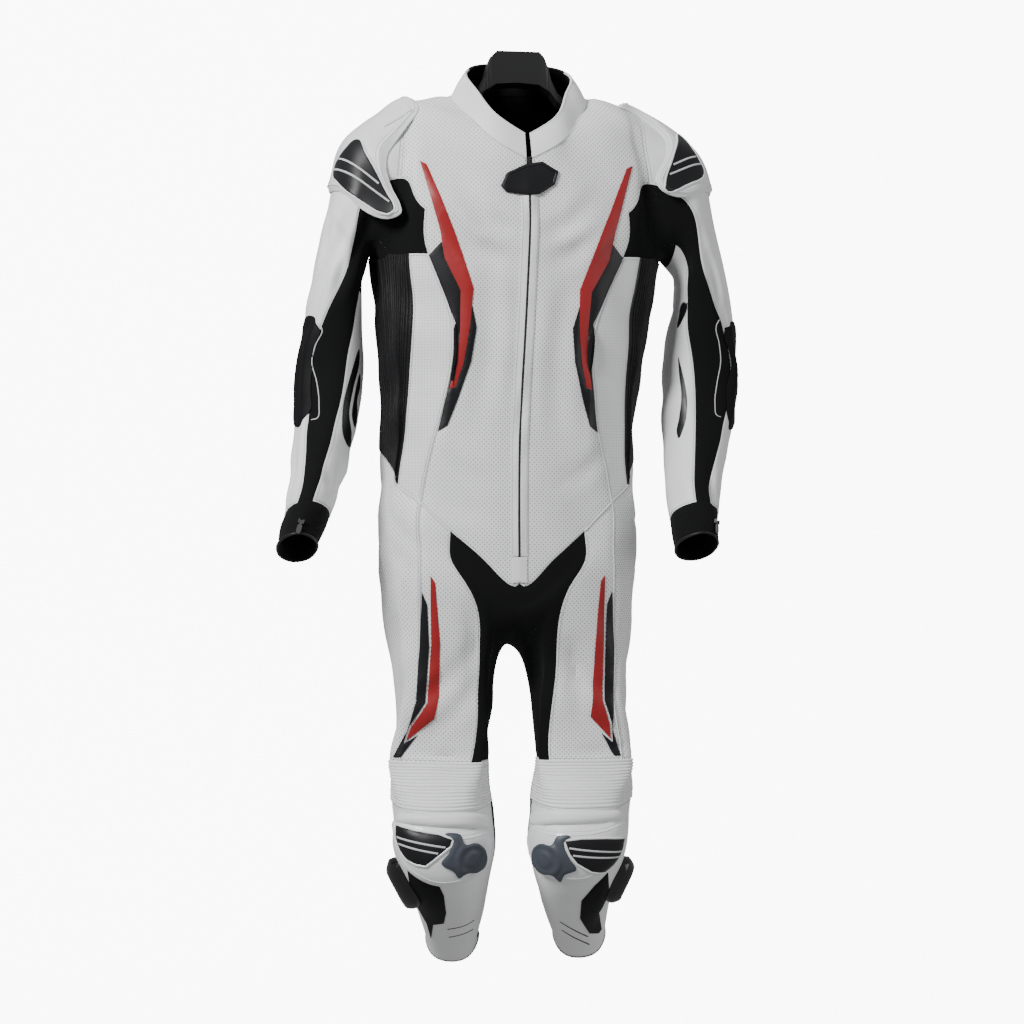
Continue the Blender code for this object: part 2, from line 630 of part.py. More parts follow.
def ribbed_panel(garment, name, ribs, height, wall, finish, across):
    """A panel with ribs raised in its outer points over a plain inside.

    across=True runs the ribs down the panel, side by side; False stacks them.
    """
    cells = {}
    for k in garment.of(name):
        for vertex, cell in zip(garment.faces[k], garment.grid[k]):
            cells[cell] = vertex
    us = sorted({u for u, _ in cells})
    vs = sorted({v for _, v in cells})
    lines, fixed = (vs, us) if across else (us, vs)
    rim = rim_of([t for k in garment.of(name) for t in split(garment.faces[k])])
    drawn = draw_in(garment.points, garment.normals, rim, SEAM_GAP / 2)
    columns = []
    for line in lines:
        row = [cells[(f, line) if across else (line, f)] for f in fixed]
        columns.append([(drawn[vertex], garment.normals[vertex]) for vertex in row])
    outer_count, inner_count = 2 * ribs + 1, len(fixed)
    outer, inner = [], []
    for line in columns:
        place, facing = resample(line, outer_count)
        lift = np.array([height if k % 2 else 0.0 for k in range(outer_count)])
        outer.append(place + facing * lift[:, None])
        place, facing = resample(line, inner_count)
        inner.append(place - facing * wall)
    rows = len(columns)
    points = np.vstack(outer + inner)
    base = rows * outer_count

    def out(r, k):
        return r * outer_count + k

    def inn(r, k):
        return base + r * inner_count + k

    faces = []
    for r in range(rows - 1):
        for k in range(outer_count - 1):
            faces += split((out(r, k), out(r, k + 1), out(r + 1, k + 1), out(r + 1, k)))
        for k in range(inner_count - 1):
            faces += split((inn(r, k), inn(r + 1, k), inn(r + 1, k + 1), inn(r, k + 1)))
        faces += split((out(r, 0), out(r + 1, 0), inn(r + 1, 0), inn(r, 0)))
        last_o, last_i = outer_count - 1, inner_count - 1
        faces += split((out(r, last_o), inn(r, last_i), inn(r + 1, last_i),
                        out(r + 1, last_o)))
    for r, order in ((0, 1), (rows - 1, -1)):
        o = i = 0
        while o < outer_count - 1 or i < inner_count - 1:
            step_outer = i == inner_count - 1 or \
                (o < outer_count - 1 and
                 (o + 0.5) / (outer_count - 1) <= (i + 0.5) / (inner_count - 1))
            if step_outer:
                face = (out(r, o + 1), out(r, o), inn(r, i))
                o += 1
            else:
                face = (out(r, o), inn(r, i), inn(r, i + 1))
                i += 1
            faces.append(face[::order])
    centre = points[:base].mean(axis=0)
    volume = sum(np.dot(points[a] - centre, np.cross(points[b] - centre,
                                                     points[c] - centre))
                 for a, b, c in faces)
    if volume < 0:
        faces = [face[::-1] for face in faces]
    return make_object(name, points, faces, finish)


class View:
    """A projection to lay outlines with: straight along an axis, or from an eye."""

    def __init__(self, axis, eye=None):
        self.axis = np.array(axis, float) / np.linalg.norm(axis)
        up = np.array((0.0, 0.0, 1.0))
        self.right = np.cross(self.axis, up)
        self.right /= np.linalg.norm(self.right)
        self.up = np.cross(self.right, self.axis)
        self.eye = None if eye is None else np.array(eye, float)

    def flat(self, point):
        """Where a point falls in the drawing."""
        rel = point - (self.eye if self.eye is not None else 0.0)
        u, v = rel @ self.right, rel @ self.up
        if self.eye is None:
            return np.array((u, v))
        away = rel @ self.axis
        return np.array((u, v)) / away * EYE_SCALE if away > 1.0 else None

    def ray(self, spot):
        """The line of sight through a spot of the drawing, from outside."""
        if self.eye is None:
            origin = self.right * spot[0] + self.up * spot[1] - self.axis * FAR
            return origin, self.axis
        way = self.axis + (self.right * spot[0] + self.up * spot[1]) / EYE_SCALE
        way /= np.linalg.norm(way)
        return self.eye + way * FAR, -way


EYE_SCALE = 150.0
FAR = 900.0
FRONT = View((0, 1, 0))


def inset_outline(outline, distance):
    """An outline drawn in by a small distance, run against the clock."""
    spots = [np.array(p, float) for p in outline]
    count = len(spots)
    if sum(a[0] * b[1] - b[0] * a[1] for a, b in zip(spots, spots[1:] + spots[:1])) < 0:
        spots = spots[::-1]
    result = []
    for k, spot in enumerate(spots):
        before, after = spots[k - 1], spots[(k + 1) % count]
        sides = []
        for a, b in ((before, spot), (spot, after)):
            along = (b - a) / np.linalg.norm(b - a)
            sides.append(np.array((-along[1], along[0])))
        scale = max(1.0 + sides[0] @ sides[1], 0.35)
        result.append(spot + distance * (sides[0] + sides[1]) / scale)
    return result


def border_distance(spot, outline):
    """Distance from a spot to the nearest side of an outline."""
    best = 1e9
    for a, b in zip(outline, outline[1:] + outline[:1]):
        along = b - a
        share = np.clip((spot - a) @ along / (along @ along), 0.0, 1.0)
        best = min(best, np.linalg.norm(spot - a - along * share))
    return best


def inside(spot, outline):
    """Whether a spot is inside an outline."""
    hit = False
    for a, b in zip(outline, outline[1:] + outline[:1]):
        if (a[1] > spot[1]) != (b[1] > spot[1]):
            if spot[0] < (b[0] - a[0]) * (spot[1] - a[1]) / (b[1] - a[1]) + a[0]:
                hit = not hit
    return hit


def laid_piece(name, host, view, outline, form, finish, bridge=0):
    """A piece cut from the points of what it lies on, moved out, with a crown.

    form is a row of FORMS. bridge is the number of passes that draw a stiff piece
    straight across the hollows under it.
    """
    thickness, crown, soft_edge, grain = form
    border = inset_outline(outline, SEAM_GAP / 2)
    low, high = np.min(border, axis=0), np.max(border, axis=0)
    spots = [Vector(s) for s in border]
    edges = [(k, (k + 1) % len(border)) for k in range(len(border))]
    number, lines = {}, set()
    for corners in host.triangles:
        shape = [view.flat(host.points[k]) for k in corners]
        if any(s is None for s in shape):
            continue
        shape = np.array(shape)
        if (shape.max(axis=0) < low).any() or (shape.min(axis=0) > high).any():
            continue
        normal = sum(host.normals[k] for k in corners)
        if normal @ view.ray(shape.mean(axis=0))[1] > -0.1:
            continue
        for k, spot in zip(corners, shape):
            if k not in number:
                number[k] = len(spots)
                spots.append(Vector(spot))
        for a, b in zip(corners, corners[1:] + corners[:1]):
            lines.add((min(number[a], number[b]), max(number[a], number[b])))
    if grain:
        for u in np.arange(low[0] + grain / 2, high[0], grain):
            for v in np.arange(low[1] + grain / 2, high[1], grain):
                spot = np.array((u, v))
                if inside(spot, border) and border_distance(spot, border) > grain / 3:
                    spots.append(Vector(spot))
    mesh = delaunay_2d_cdt(spots, edges + sorted(lines), [list(range(len(border)))],
                           0, 1e-4)
    flat, triangles, owner = mesh[0], mesh[2], mesh[5]
    kept = [tuple(t) for t, origin in zip(triangles, owner) if origin]
    used = sorted({k for t in kept for k in t})
    renumber = {k: n for n, k in enumerate(used)}
    kept = [tuple(renumber[k] for k in t) for t in kept]
    places, facings, heights, ways = [], [], [], []
    for k in used:
        spot = np.array(flat[k])
        origin, way = view.ray(spot)
        place, facing = host.hit(origin, way)
        rise = min(border_distance(spot, border) / soft_edge, 1.0)
        places.append(place)
        facings.append(facing)
        ways.append(-way)
        heights.append(thickness + crown * math.sin(rise * math.pi / 2))
    places, facings, ways = np.array(places), np.array(facings), np.array(ways)
    if bridge:
        near, along = [set() for _ in used], {}
        for corners in kept:
            for k in corners:
                near[k].update(corners)
        for a, b in rim_of(kept):
            along.setdefault(a, set()).update((a, b))
            along.setdefault(b, set()).update((a, b))
        mates = [sorted(along.get(k, group)) for k, group in enumerate(near)]
        for _ in range(bridge):
            for k, group in enumerate(mates):
                short = (places[group].mean(axis=0) - places[k]) @ ways[k]
                places[k] += ways[k] * max(short, 0.0)
        facings = np.zeros_like(places)
        for corners in kept:
            a, b, c = (places[k] for k in corners)
            turn = np.cross(b - a, c - a)
            turn *= math.copysign(1.0, turn @ ways[corners[0]])
            for k in corners:
                facings[k] += turn
        facings /= np.linalg.norm(facings, axis=1)[:, None]
    turn = sum(np.cross(places[b] - places[a], places[c] - places[a]) @ facings[a]
               for a, b, c in kept)
    if turn < 0:
        kept = [t[::-1] for t in kept]
    bottom = places + facings * SEAM_GAP
    top = bottom + facings * np.array(heights)[:, None]
    count = len(places)
    faces = list(kept) + [tuple(k + count for k in reversed(t)) for t in kept]
    for a, b in rim_of(kept):
        faces += [(b, a, a + count), (b, a + count, b + count)]
    make_object(name, np.vstack([top, bottom]), faces, finish)
    return Surface(top, facings, kept)


def front_outline(outline, sign):
    """An outline on the hung garment: mirrored, then leaned and turned with it."""
    result = []
    for x, z in outline:
        placed = hang((sign * x, LEG_AXIS[1] - 70.0, z))
        result.append((placed[0], z))
    return result


def inlays(garment, finishes):
    """Coloured leather inlays on the chest and thighs."""
    for side, sign in (("l", 1.0), ("r", -1.0)):
        chest = garment.surface("front_panel_" + side)
        thigh = garment.surface("leg_front_" + side, "leg_side_" + side)
        for name, host, outline, finish in (
                ("chest_flash_red_", chest, CHEST_RED, "red"),
                ("chest_flash_black_", chest, CHEST_BLACK, "black_leather"),
                ("thigh_flash_red_", thigh, THIGH_RED, "red"),
                ("thigh_flash_black_", thigh, THIGH_BLACK, "black_leather")):
            laid_piece(name + side, host, FRONT, front_outline(outline, sign),
                       (INLAY, 0.0, 1.0, 0.0), finishes[finish])


def seen_outline(surface, view, front, back, sign):
    """Outline points named from the front and from behind, in another drawing."""
    spots = []
    for outline, axis in ((front, (0, 1, 0)), (back, (0, -1, 0))):
        sight = View(axis)
        for x, z in outline:
            placed = hang((sign * x, 0.0, z))
            start = sight.flat(np.array((placed[0], 0.0, z)))
            spots.append(view.flat(surface.hit(*sight.ray(start))[0]))
    return spots


def shoulder_cups(garment, finishes):
    """Moulded cups over the shoulders, across the armhole seams."""
    for side, sign in (("l", 1.0), ("r", -1.0)):
        host = garment.surface(*(name + "_" + side for name in (
            "front_panel", "chest_stretch", "sleeve_outer", "sleeve_stretch")),
            "yoke_back", "back_panel")
        view = View((sign * CUP_WAY[0],) + CUP_WAY[1:],
                    eye=(sign * CUP_EYE[0],) + CUP_EYE[1:])
        outline = seen_outline(host, view, CUP_FRONT[side], CUP_BACK, sign)
        laid_piece("shoulder_cup_" + side, host, view, outline, FORMS["shoulder_cup"],
                   finishes["white_leather"], CUP_BRIDGE)


def knee_armour(garment, finishes):
    """The moulded cup, the rubber piece and the slider of each knee."""
    turn = math.radians(KNEE_TURN)
    sight = View((-math.sin(turn), math.cos(turn), 0))
    for side, sign in (("l", 1.0), ("r", -1.0)):
        host = garment.surface("knee_shin_" + side, "calf_stretch_" + side)
        view = View((math.sin(turn), -math.cos(turn), -0.1),
                    eye=hang((sign * KNEE_MIDDLE,) + KNEE_EYE))

        def drawn(outline):
            """A knee outline, named from the front, in the drawing from inside."""
            spots = []
            for out, z in outline:
                placed = hang((sign * (KNEE_MIDDLE + out), LEG_AXIS[1], z))
                start = sight.flat(np.array(placed))
                spots.append(view.flat(host.hit(*sight.ray(start))[0]))
            return spots

        cup = laid_piece("knee_cup_" + side, host, view, drawn(KNEE_CUP),
                         FORMS["knee_cup"], finishes["white_leather"])
        laid_piece("knee_rubber_" + side, cup, view, drawn(KNEE_PIECE),
                   FORMS["knee_rubber"], finishes["rubber"])
        laid_piece("knee_roll_" + side, host, view, drawn(KNEE_ROLL),
                   FORMS["knee_roll"], finishes["white_leather"])
        way = (sign * SLIDER_WAY[0] - SLIDER_WAY[1] * math.sin(turn),
               SLIDER_WAY[1], SLIDER_WAY[2])
        x, y, z = SLIDER_CENTRE
        view = View(way, eye=hang((sign * x, y, z)))
        outline = []
        for step in range(SLIDER_CORNERS):
            angle = math.tau * step / SLIDER_CORNERS
            outline.append((SLIDER_HALF[0] * math.cos(angle),
                            SLIDER_HALF[1] * math.sin(angle)))
        laid_piece("knee_slider_" + side, host, view, outline, FORMS["knee_slider"],
                   finishes["slider"])


def elbow_pads(garment, finishes):
    """Pads over the outer side of the elbows."""
    for side, sign in (("l", 1.0), ("r", -1.0)):
        host = garment.surface("sleeve_outer_" + side, "sleeve_stretch_" + side)
        view = View((-sign, 0, 0))
        outline = [(sign * y, z) for y, z in ELBOW_PAD]
        laid_piece("elbow_pad_" + side, host, view, outline, FORMS["elbow_pad"],
                   finishes["black_leather"])


def border_walk(garment, start, goal):
    """Point numbers along the garment's open edge, the shorter way round."""
    triangles = [t for face in garment.faces for t in split(face)]
    mates = {}
    for a, b in rim_of(triangles):
        mates.setdefault(a, []).append(b)
        mates.setdefault(b, []).append(a)
    routes = []
    for first in mates[start]:
        route = [start, first]
        while route[-1] != goal:
            ahead = [k for k in mates[route[-1]] if k != route[-2]]
            route.append(ahead[0])
        routes.append(route)
    return min(routes, key=len)


def collar(garment, finishes):
    """The stand-up collar: two white fronts and a black back."""
    key = garment.keys
    spine = key[("mid", "shoulder", 12)]
    halves = {}
    for side, sign in (("l", 1.0), ("r", -1.0)):
        front_edge = key[(side, "yoke2", 0)]
        route = border_walk(garment, front_edge, spine)
        corner = route.index(key[(side, "shoulder", 1)])
        halves[side] = (route[:corner + 1], route[corner:])
    back = halves["l"][1] + halves["r"][1][-2::-1]
    for name, route, finish in (("collar_front_l", halves["l"][0], "white_leather"),
                                ("collar_front_r", halves["r"][0], "white_leather"),
                                ("collar_back", back, "stretch")):
        points, normals = [], []
        for k in route:
            x, y, z = garment.points[k]
            inward = np.array((-x, COLLAR_AXIS_Y - y, 0.0))
            inward /= np.linalg.norm(inward)
            share = min(max((y - COLLAR_FRONT_Y) / (COLLAR_BACK_Y - COLLAR_FRONT_Y), 0), 1)
            lean = math.radians(np.interp(share, *COLLAR_LEAN))
            height = np.interp(share, *COLLAR_HEIGHT)
            rise = inward * math.sin(lean) + np.array((0, 0, math.cos(lean)))
            facing = -inward * math.cos(lean) + np.array((0, 0, math.sin(lean)))
            for part in (0.0, 0.55, 1.0):
                swell = COLLAR_SWELL * math.sin(part * math.pi)
                points.append(garment.points[k] + rise * (0.1 + height * part)
                              + facing * swell)
                normals.append(facing)
        triangles = []
        for k in range(len(route) - 1):
            for row in range(2):
                low, high = 3 * k + row, 3 * k + row + 1
                triangles += split((low, low + 3, high + 3, high))
        points, normals = np.array(points), np.array(normals)
        a, b, c = triangles[0]
        if np.cross(points[b] - points[a], points[c] - points[a]) @ normals[a] < 0:
            triangles = [t[::-1] for t in triangles]
        shell(name, points, normals, triangles, COLLAR_WALL, finishes[finish])


def front_zip(garment, finishes):
    """The zip between the fronts, and the flap that covers its top."""
    tip = garment.keys[("mid", "waist", 0)]
    edges = {side: border_walk(garment, garment.keys[(side, "yoke2", 0)], tip)[:-1]
             for side in "lr"}
    triangles = []
    for k in range(len(edges["l"]) - 1):
        triangles += split((edges["r"][k + 1], edges["l"][k + 1],
                            edges["l"][k], edges["r"][k]))
    shell("main_zip", garment.points, garment.normals, triangles, ZIP_WALL,
          finishes["zip"])
    fronts = [t for k in garment.of("front_panel_l", "front_panel_r")
              for t in split(garment.faces[k])]
    host = Surface(garment.points, garment.normals, fronts + triangles)
    laid_piece("throat_flap", host, FRONT, THROAT_FLAP, FORMS["throat_flap"],
               finishes["black_leather"])


def cuff_zips(garment, finishes):
    """A zip slider on each cuff, and the tab that swings on it."""
    for side, sign in (("l", 1.0), ("r", -1.0)):
        host = garment.surface("cuff_" + side)
        start = CUFF_PULL[side]
        place, normal = host.hit((start[0], -FAR, start[1]), (0, 1, 0))
        down = np.array(CUFF_WAY[side], float)
        down -= normal * (down @ normal)
        down /= np.linalg.norm(down)
        across = np.cross(normal, down)

        def solid(name, outline, first, last, plane, finish):
            """An outline drawn in two of the slider's own directions, made thick."""
            u, v, w = plane
            ring = [place + u * p + v * q for p, q in outline]
            count = len(ring)
            points = [p + w * first for p in ring] + [p + w * last for p in ring]
            faces = [tuple(range(count))[::-1], tuple(range(count, 2 * count))]
            for k in range(count):
                after = (k + 1) % count
                faces.append((k, after, after + count, k + count))
            if np.cross(u, v) @ w < 0:
                faces = [f[::-1] for f in faces]
            return make_object(name, np.array(points), faces, finish, False)

        solid("cuff_slider_" + side, SLIDER_FORM, -SLIDER_REACH, SLIDER_REACH,
              (across, normal, down), finishes["metal"])
        solid("cuff_pull_" + side, PULL_FORM, PULL_AXIS_UP - PULL_HALF,
              PULL_AXIS_UP + PULL_HALF, (across, down, normal), finishes["metal"])


def hanger(garment, finishes):
    """The moulded hanger: a neck block and broad arms under the shoulders."""
    points = garment.points - garment.normals * LEATHER
    triangles = [t for k, face in enumerate(garment.faces)
                 if garment.tags[k].startswith(("front_panel", "yoke", "back"))
                 for t in split(face)]
    lining = Surface(points, garment.normals, triangles)

    def under(x, y):
        """The lowest height of the lining round a spot."""
        found = [lining.tree.ray_cast(Vector((x + step, y, -200)), Vector((0, 0, 1)))[0]
                 for step in (-HANGER_LOOK, 0.0, HANGER_LOOK)]
        return min(place.z for place in found if place)

    spots = [x for x, _ in HANGER_TOP] + list(HANGER_ARM_X)
    spots = [-x for x in spots[:0:-1]] + spots
    rings = []
    for x in spots:
        far = abs(x)
        middle = np.interp(far, *zip(*HANGER_TOP))
        if far > HANGER_TOP[-1][0]:
            middle = under(x, 0.0)
        bottom = middle - HANGER_THICK
        if far <= HANGER_BOTTOM[-1][0]:
            bottom = np.interp(far, *zip(*HANGER_BOTTOM))
        ring = []
        drop = np.interp(far, (HANGER_ROUND[0], HANGER_TOP[-1][0]), (0, HANGER_ROUND[1]))
        for share in (-1.0, -0.6, 0.0, 0.6, 1.0):
            y = share * HANGER_DEPTH
            z = middle - drop * share * share
            if far > HANGER_TOP[-1][0]:
                z = under(x, y) - HANGER_CLEAR
            ring.append((x, y, z))
        ring += [(x, 0.8 * HANGER_DEPTH, bottom + 5), (x, 0.0, bottom),
                 (x, -0.8 * HANGER_DEPTH, bottom + 5)]
        rings.append(ring)
    count = len(rings[0])
    faces = [tuple(range(count)), tuple(range((len(rings) - 1) * count,
                                              len(rings) * count))[::-1]]
    for r in range(len(rings) - 1):
        for k in range(count):
            after = (k + 1) % count
            a, b = r * count + k, r * count + after
            faces += split((b, a, a + count, b + count))
    make_object("hanger", np.array(sum(rings, [])), faces, finishes["hanger"])


def build():
    """Every piece of the suit."""
    clear_scene()
    finishes = {
        "white_leather": material("white_leather", (0.83, 0.84, 0.85), 0.45),
        "black_leather": material("black_leather", (0.010, 0.010, 0.012), 0.42),
        "red": material("red_leather", (0.42, 0.028, 0.032), 0.42),
        "stretch": material("black_stretch", (0.006, 0.006, 0.007), 0.9),
        "rubber": material("grey_rubber", (0.055, 0.062, 0.08), 0.6),
        "slider": material("slider_plastic", (0.008, 0.008, 0.009), 0.18),
        "hanger": material("hanger_plastic", (0.010, 0.010, 0.011), 0.5),
        "metal": material("zip_metal", (0.62, 0.62, 0.64), 0.3, 1.0),
        "zip": material("zip_tape", (0.012, 0.012, 0.013), 0.7)}
    garment = Garment()
    for panel in sorted(set(garment.tags)):
        stem = panel.rsplit("_", 1)[0] if panel not in ONE_PIECE else panel
        if stem == "side_rib":
            ribbed_panel(garment, panel, SIDE_RIBS, SIDE_RIB_H, STRETCH,
                         finishes["stretch"], across=True)
        elif stem == "knee_band":
            ribbed_panel(garment, panel, BAND_RIBS, BAND_RIB_H, LEATHER,
                         finishes["white_leather"], across=False)
        elif stem == "cuff":
            panel_shell(garment, panel, CUFF_WALL, finishes["stretch"])
        elif "stretch" in stem or stem == "yoke_back":
            panel_shell(garment, panel, STRETCH, finishes["stretch"])
        else:
            panel_shell(garment, panel, LEATHER, finishes["white_leather"])
    inlays(garment, finishes)
    shoulder_cups(garment, finishes)
    knee_armour(garment, finishes)
    elbow_pads(garment, finishes)
    collar(garment, finishes)
    front_zip(garment, finishes)
    cuff_zips(garment, finishes)
    hanger(garment, finishes)


build()
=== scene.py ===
# %% [markdown]
# A one-piece leather race suit hangs on a broad hanger, filled out and empty. The packed
# CAD model is loaded first and gives the frame. The visible cloth is made again from the
# same tables of sizes, finer, with folds, ribs, stitches and finishes. It could be
# sculpted by hand, but tables can be read and changed, and they keep both models alike.
# Lengths in the tables are millimetres.

# %% The frame
import json
import math

import bpy
import numpy as np
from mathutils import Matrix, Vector
from mathutils.bvhtree import BVHTree
from mathutils.geometry import delaunay_2d_cdt

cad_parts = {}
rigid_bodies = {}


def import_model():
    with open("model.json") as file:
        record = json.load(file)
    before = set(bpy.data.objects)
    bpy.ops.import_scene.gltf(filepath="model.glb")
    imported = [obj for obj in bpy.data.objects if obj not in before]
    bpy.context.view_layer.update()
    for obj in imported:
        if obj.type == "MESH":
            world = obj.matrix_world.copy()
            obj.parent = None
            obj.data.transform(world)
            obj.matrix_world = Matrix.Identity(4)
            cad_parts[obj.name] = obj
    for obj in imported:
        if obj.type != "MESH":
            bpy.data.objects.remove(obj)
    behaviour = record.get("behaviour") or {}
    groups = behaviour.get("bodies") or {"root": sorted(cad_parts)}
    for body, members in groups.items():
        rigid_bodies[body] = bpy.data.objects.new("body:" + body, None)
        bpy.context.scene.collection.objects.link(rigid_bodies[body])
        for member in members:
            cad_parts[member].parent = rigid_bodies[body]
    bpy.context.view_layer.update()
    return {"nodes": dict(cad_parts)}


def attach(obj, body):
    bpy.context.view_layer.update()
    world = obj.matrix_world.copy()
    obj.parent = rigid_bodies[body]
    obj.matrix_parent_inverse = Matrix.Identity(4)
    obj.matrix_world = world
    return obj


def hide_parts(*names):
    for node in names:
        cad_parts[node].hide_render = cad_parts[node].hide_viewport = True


for leftover in list(bpy.data.objects):
    bpy.data.objects.remove(leftover)
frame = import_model()


# %% [markdown]
# The torso of the suit is sewn from flat leather. It could be a sculpted tube, cut by
# eye. Here it is rings from the waist seam to the armhole, then rows up to the shoulder
# seam. Columns run from the front opening round to the spine. The cutter's seams are
# rows and columns of this net, so the panels part exactly where they are sewn.

# %% Torso sizes
BODY_RINGS = (          # z, half width, front depth, back depth
    (-291, 205, 112, 118), (-361, 196, 111, 116), (-406, 190, 109, 113),
    (-452, 184, 106, 109), (-497, 180, 103, 106), (-541, 178, 101, 105),
    (-630, 180, 103, 110), (-720, 181, 104, 118), (-764, 178, 102, 118))
FRONT_STRIP_SEAM = (    # z, x of the seam between front and side strip
    (-291, 137), (-353, 109), (-385, 96), (-420, 94), (-455, 98), (-530, 112),
    (-598, 128), (-634, 135))
STRIP_RIB_SEAM = (      # z, x of the seam between side strip and ribbed side
    (-291, 160), (-353, 152), (-410, 153), (-535, 153), (-598, 161), (-634, 166))
BACK_SHARE = (0.93, 0.80, 0.62, 0.42, 0.21, 0.0)    # back columns, share of half width
ZIP_HALF = 3.0          # half of the front opening that the zip fills
TORSO_STEPS = 4         # net rows from waist seam to armpit
WAIST_Z = (-740, -708, -668, -627, -603, -584, -556, -545, -541, -540, -540, -540, -540)
CHEST_Z = (-291,) * 6 + (-286,) + (-291,) * 6
N_COLS = 13             # centre front 0, armhole front 5, side 6, armhole back 7, spine 12

UPPER_ROWS = {          # above the armpit: column: (x, y, z)
    "yoke1": {0: (3, -113, -238), 1: (45, -112, -240), 2: (95, -107, -246),
              3: (141, -93, -233), 4: (160, -82, -202), 5: (174, -70, -187),
              7: (180, 76, -205), 8: (150, 100, -215), 9: (116, 112, -220),
              10: (80, 119, -222), 11: (40, 122, -223), 12: (0, 122, -223)},
    "yoke2": {0: (4, -102, -159), 1: (50, -93, -131), 2: (104, -84, -134),
              3: (131, -76, -129), 4: (151, -66, -125), 5: (168, -53, -122),
              7: (172, 62, -130), 8: (150, 80, -137), 9: (122, 93, -142),
              10: (90, 103, -143), 11: (46, 109, -142), 12: (0, 110, -141)},
    "yoke3": {1: (78, -50, -92), 2: (105, -45, -88), 3: (129, -39, -86),
              4: (149, -33, -88), 5: (168, -25, -92),
              7: (170, 38, -95), 8: (150, 48, -92), 9: (126, 58, -92),
              10: (98, 66, -90), 11: (50, 84, -86), 12: (0, 90, -84)},
    "shoulder": {1: (90, 4, -57), 2: (108, 4, -60), 3: (127, 5, -63),
                 4: (146, 6, -67), 5: (166, 7, -72), 12: (0, 68, -46)}}
SHOULDER_MATE = {11: 1, 10: 2, 9: 3, 8: 4, 7: 5}    # back column that ends on a front one
print("torso rings", len(BODY_RINGS), "rows above the armpit", len(UPPER_ROWS))


# %% [markdown]
# The seat and legs are cut for sitting on a machine, so they are full at the back and
# bent at the knee. A leg is a stack of rings, each with its own centre, size and tilt.
# Columns a to j run from the inner front round the outer side, and q closes the inside.

# %% Seat and leg sizes
LEG_COLS = {"a": (0,), "b": (1,), "c": (2,), "d": (3,), "e": (4, 5), "f": (6,),
            "g": (7, 8), "h": (9, 10), "i": (11,), "j": (12,)}
SEAT_ROWS = {
    "hip": {"a": (0, -102, -769), "b": (46, -103, -742), "c": (91, -99, -711),
            "d": (134, -86, -697), "e": (168, -50, -680), "f": (182, 3, -660),
            "g": (158, 74, -655), "h": (108, 108, -660), "i": (54, 118, -668),
            "j": (0, 116, -675)},
    "fork": {"a": (0, -84, -801), "b": (31, -97, -787), "c": (57, -101, -768),
             "d": (136, -82, -765), "e": (166, -45, -762), "f": (179, 6, -757),
             "g": (152, 82, -762), "h": (102, 114, -774), "i": (50, 112, -789),
             "j": (0, 88, -806), "q": (0, 4, -829)}}
LEG_RINGS = (           # name, z, centre x, centre y, half width, front, back, tilt
    ("thigh1", -848, 93.5, 0, 75, 92, 96, 0),
    ("thigh2", -912, 95, -9, 68, 88, 84, 0),
    ("band_top", -981, 100, -22, 67, 86, 72, 0),
    ("band_low", -1037, 97, -35, 70, 83, 68, 4),
    ("knee", -1096, 93, -40, 71, 82, 62, 20),
    ("shin1", -1146, 89, -4, 58, 66, 54, 42),
    ("shin2", -1202, 90, 68, 47, 52, 46, 48),
    ("ankle", -1258, 94, 146, 39, 44, 42, 48))
LEG_ANGLES = {          # degrees from the front, outward positive: a b c d e f g h i j q
    "thigh1": (-68, -52, -33, 35, 63, 92, 128, 160, 196, 232, 266),
    "thigh2": (-70, -54, -41, 40, 66, 92, 128, 160, 196, 232, 266),
    "band_top": (-80, -62, -47, 58, 76, 94, 128, 160, 196, 228, 256),
    "band_low": (-82, -55, -20, 30, 62, 94, 128, 160, 196, 228, 256),
    "knee": (-84, -52, -18, 26, 60, 94, 128, 160, 196, 226, 252),
    "shin1": (-84, -52, -18, 26, 60, 94, 128, 160, 196, 226, 252),
    "shin2": (-84, -52, -18, 26, 60, 94, 128, 160, 196, 226, 252),
    "ankle": (-84, -52, -18, 26, 60, 94, 128, 160, 196, 226, 252)}
print("leg rings", len(LEG_RINGS), "columns", len(LEG_ANGLES["knee"]))


# %% [markdown]
# The sleeves start at the armhole of the body and share its points, so no gap can open
# there. The left and right arms hang a little differently, so each ring has an outer and
# an inner x for either side.

# %% Sleeve sizes
SLEEVE_COLS = ("s", "f3", "f2", "f1", "f0", "u", "b0", "b1", "b2", "b3")
ARMHOLE = {"s": ("shoulder", 5), "f3": ("yoke3", 5), "f2": ("yoke2", 5),
           "f1": ("yoke1", 5), "f0": ("chest", 5), "u": ("chest", 6),
           "b0": ("chest", 7), "b1": ("yoke1", 7), "b2": ("yoke2", 7),
           "b3": ("yoke3", 7)}
SLEEVE_RINGS = (        # outer z, inner z, outer and inner x on the left, the same on the
                        # right, centre y, depth, tilt
    (-118, -297, 236, 214, 229, 208, 4, 76, 0),
    (-176, -316, 268, 230, 257, 211, 6, 70, 0),
    (-252, -352, 288, 230, 272, 213, 10, 66, 0),
    (-345, -402, 313, 223, 288, 209, 16, 64, 4),
    (-432, -446, 324, 219, 296, 205, 17, 62, 10),
    (-520, -520, 319, 218, 301, 211, -4, 57, 20),
    (-612, -612, 291, 213, 310, 238, -56, 48, 28),
    (-646, -646, 284, 214, 318, 253, -78, 45, 28),
    (-688, -688, 276, 216, 328, 272, -104, 42, 28))
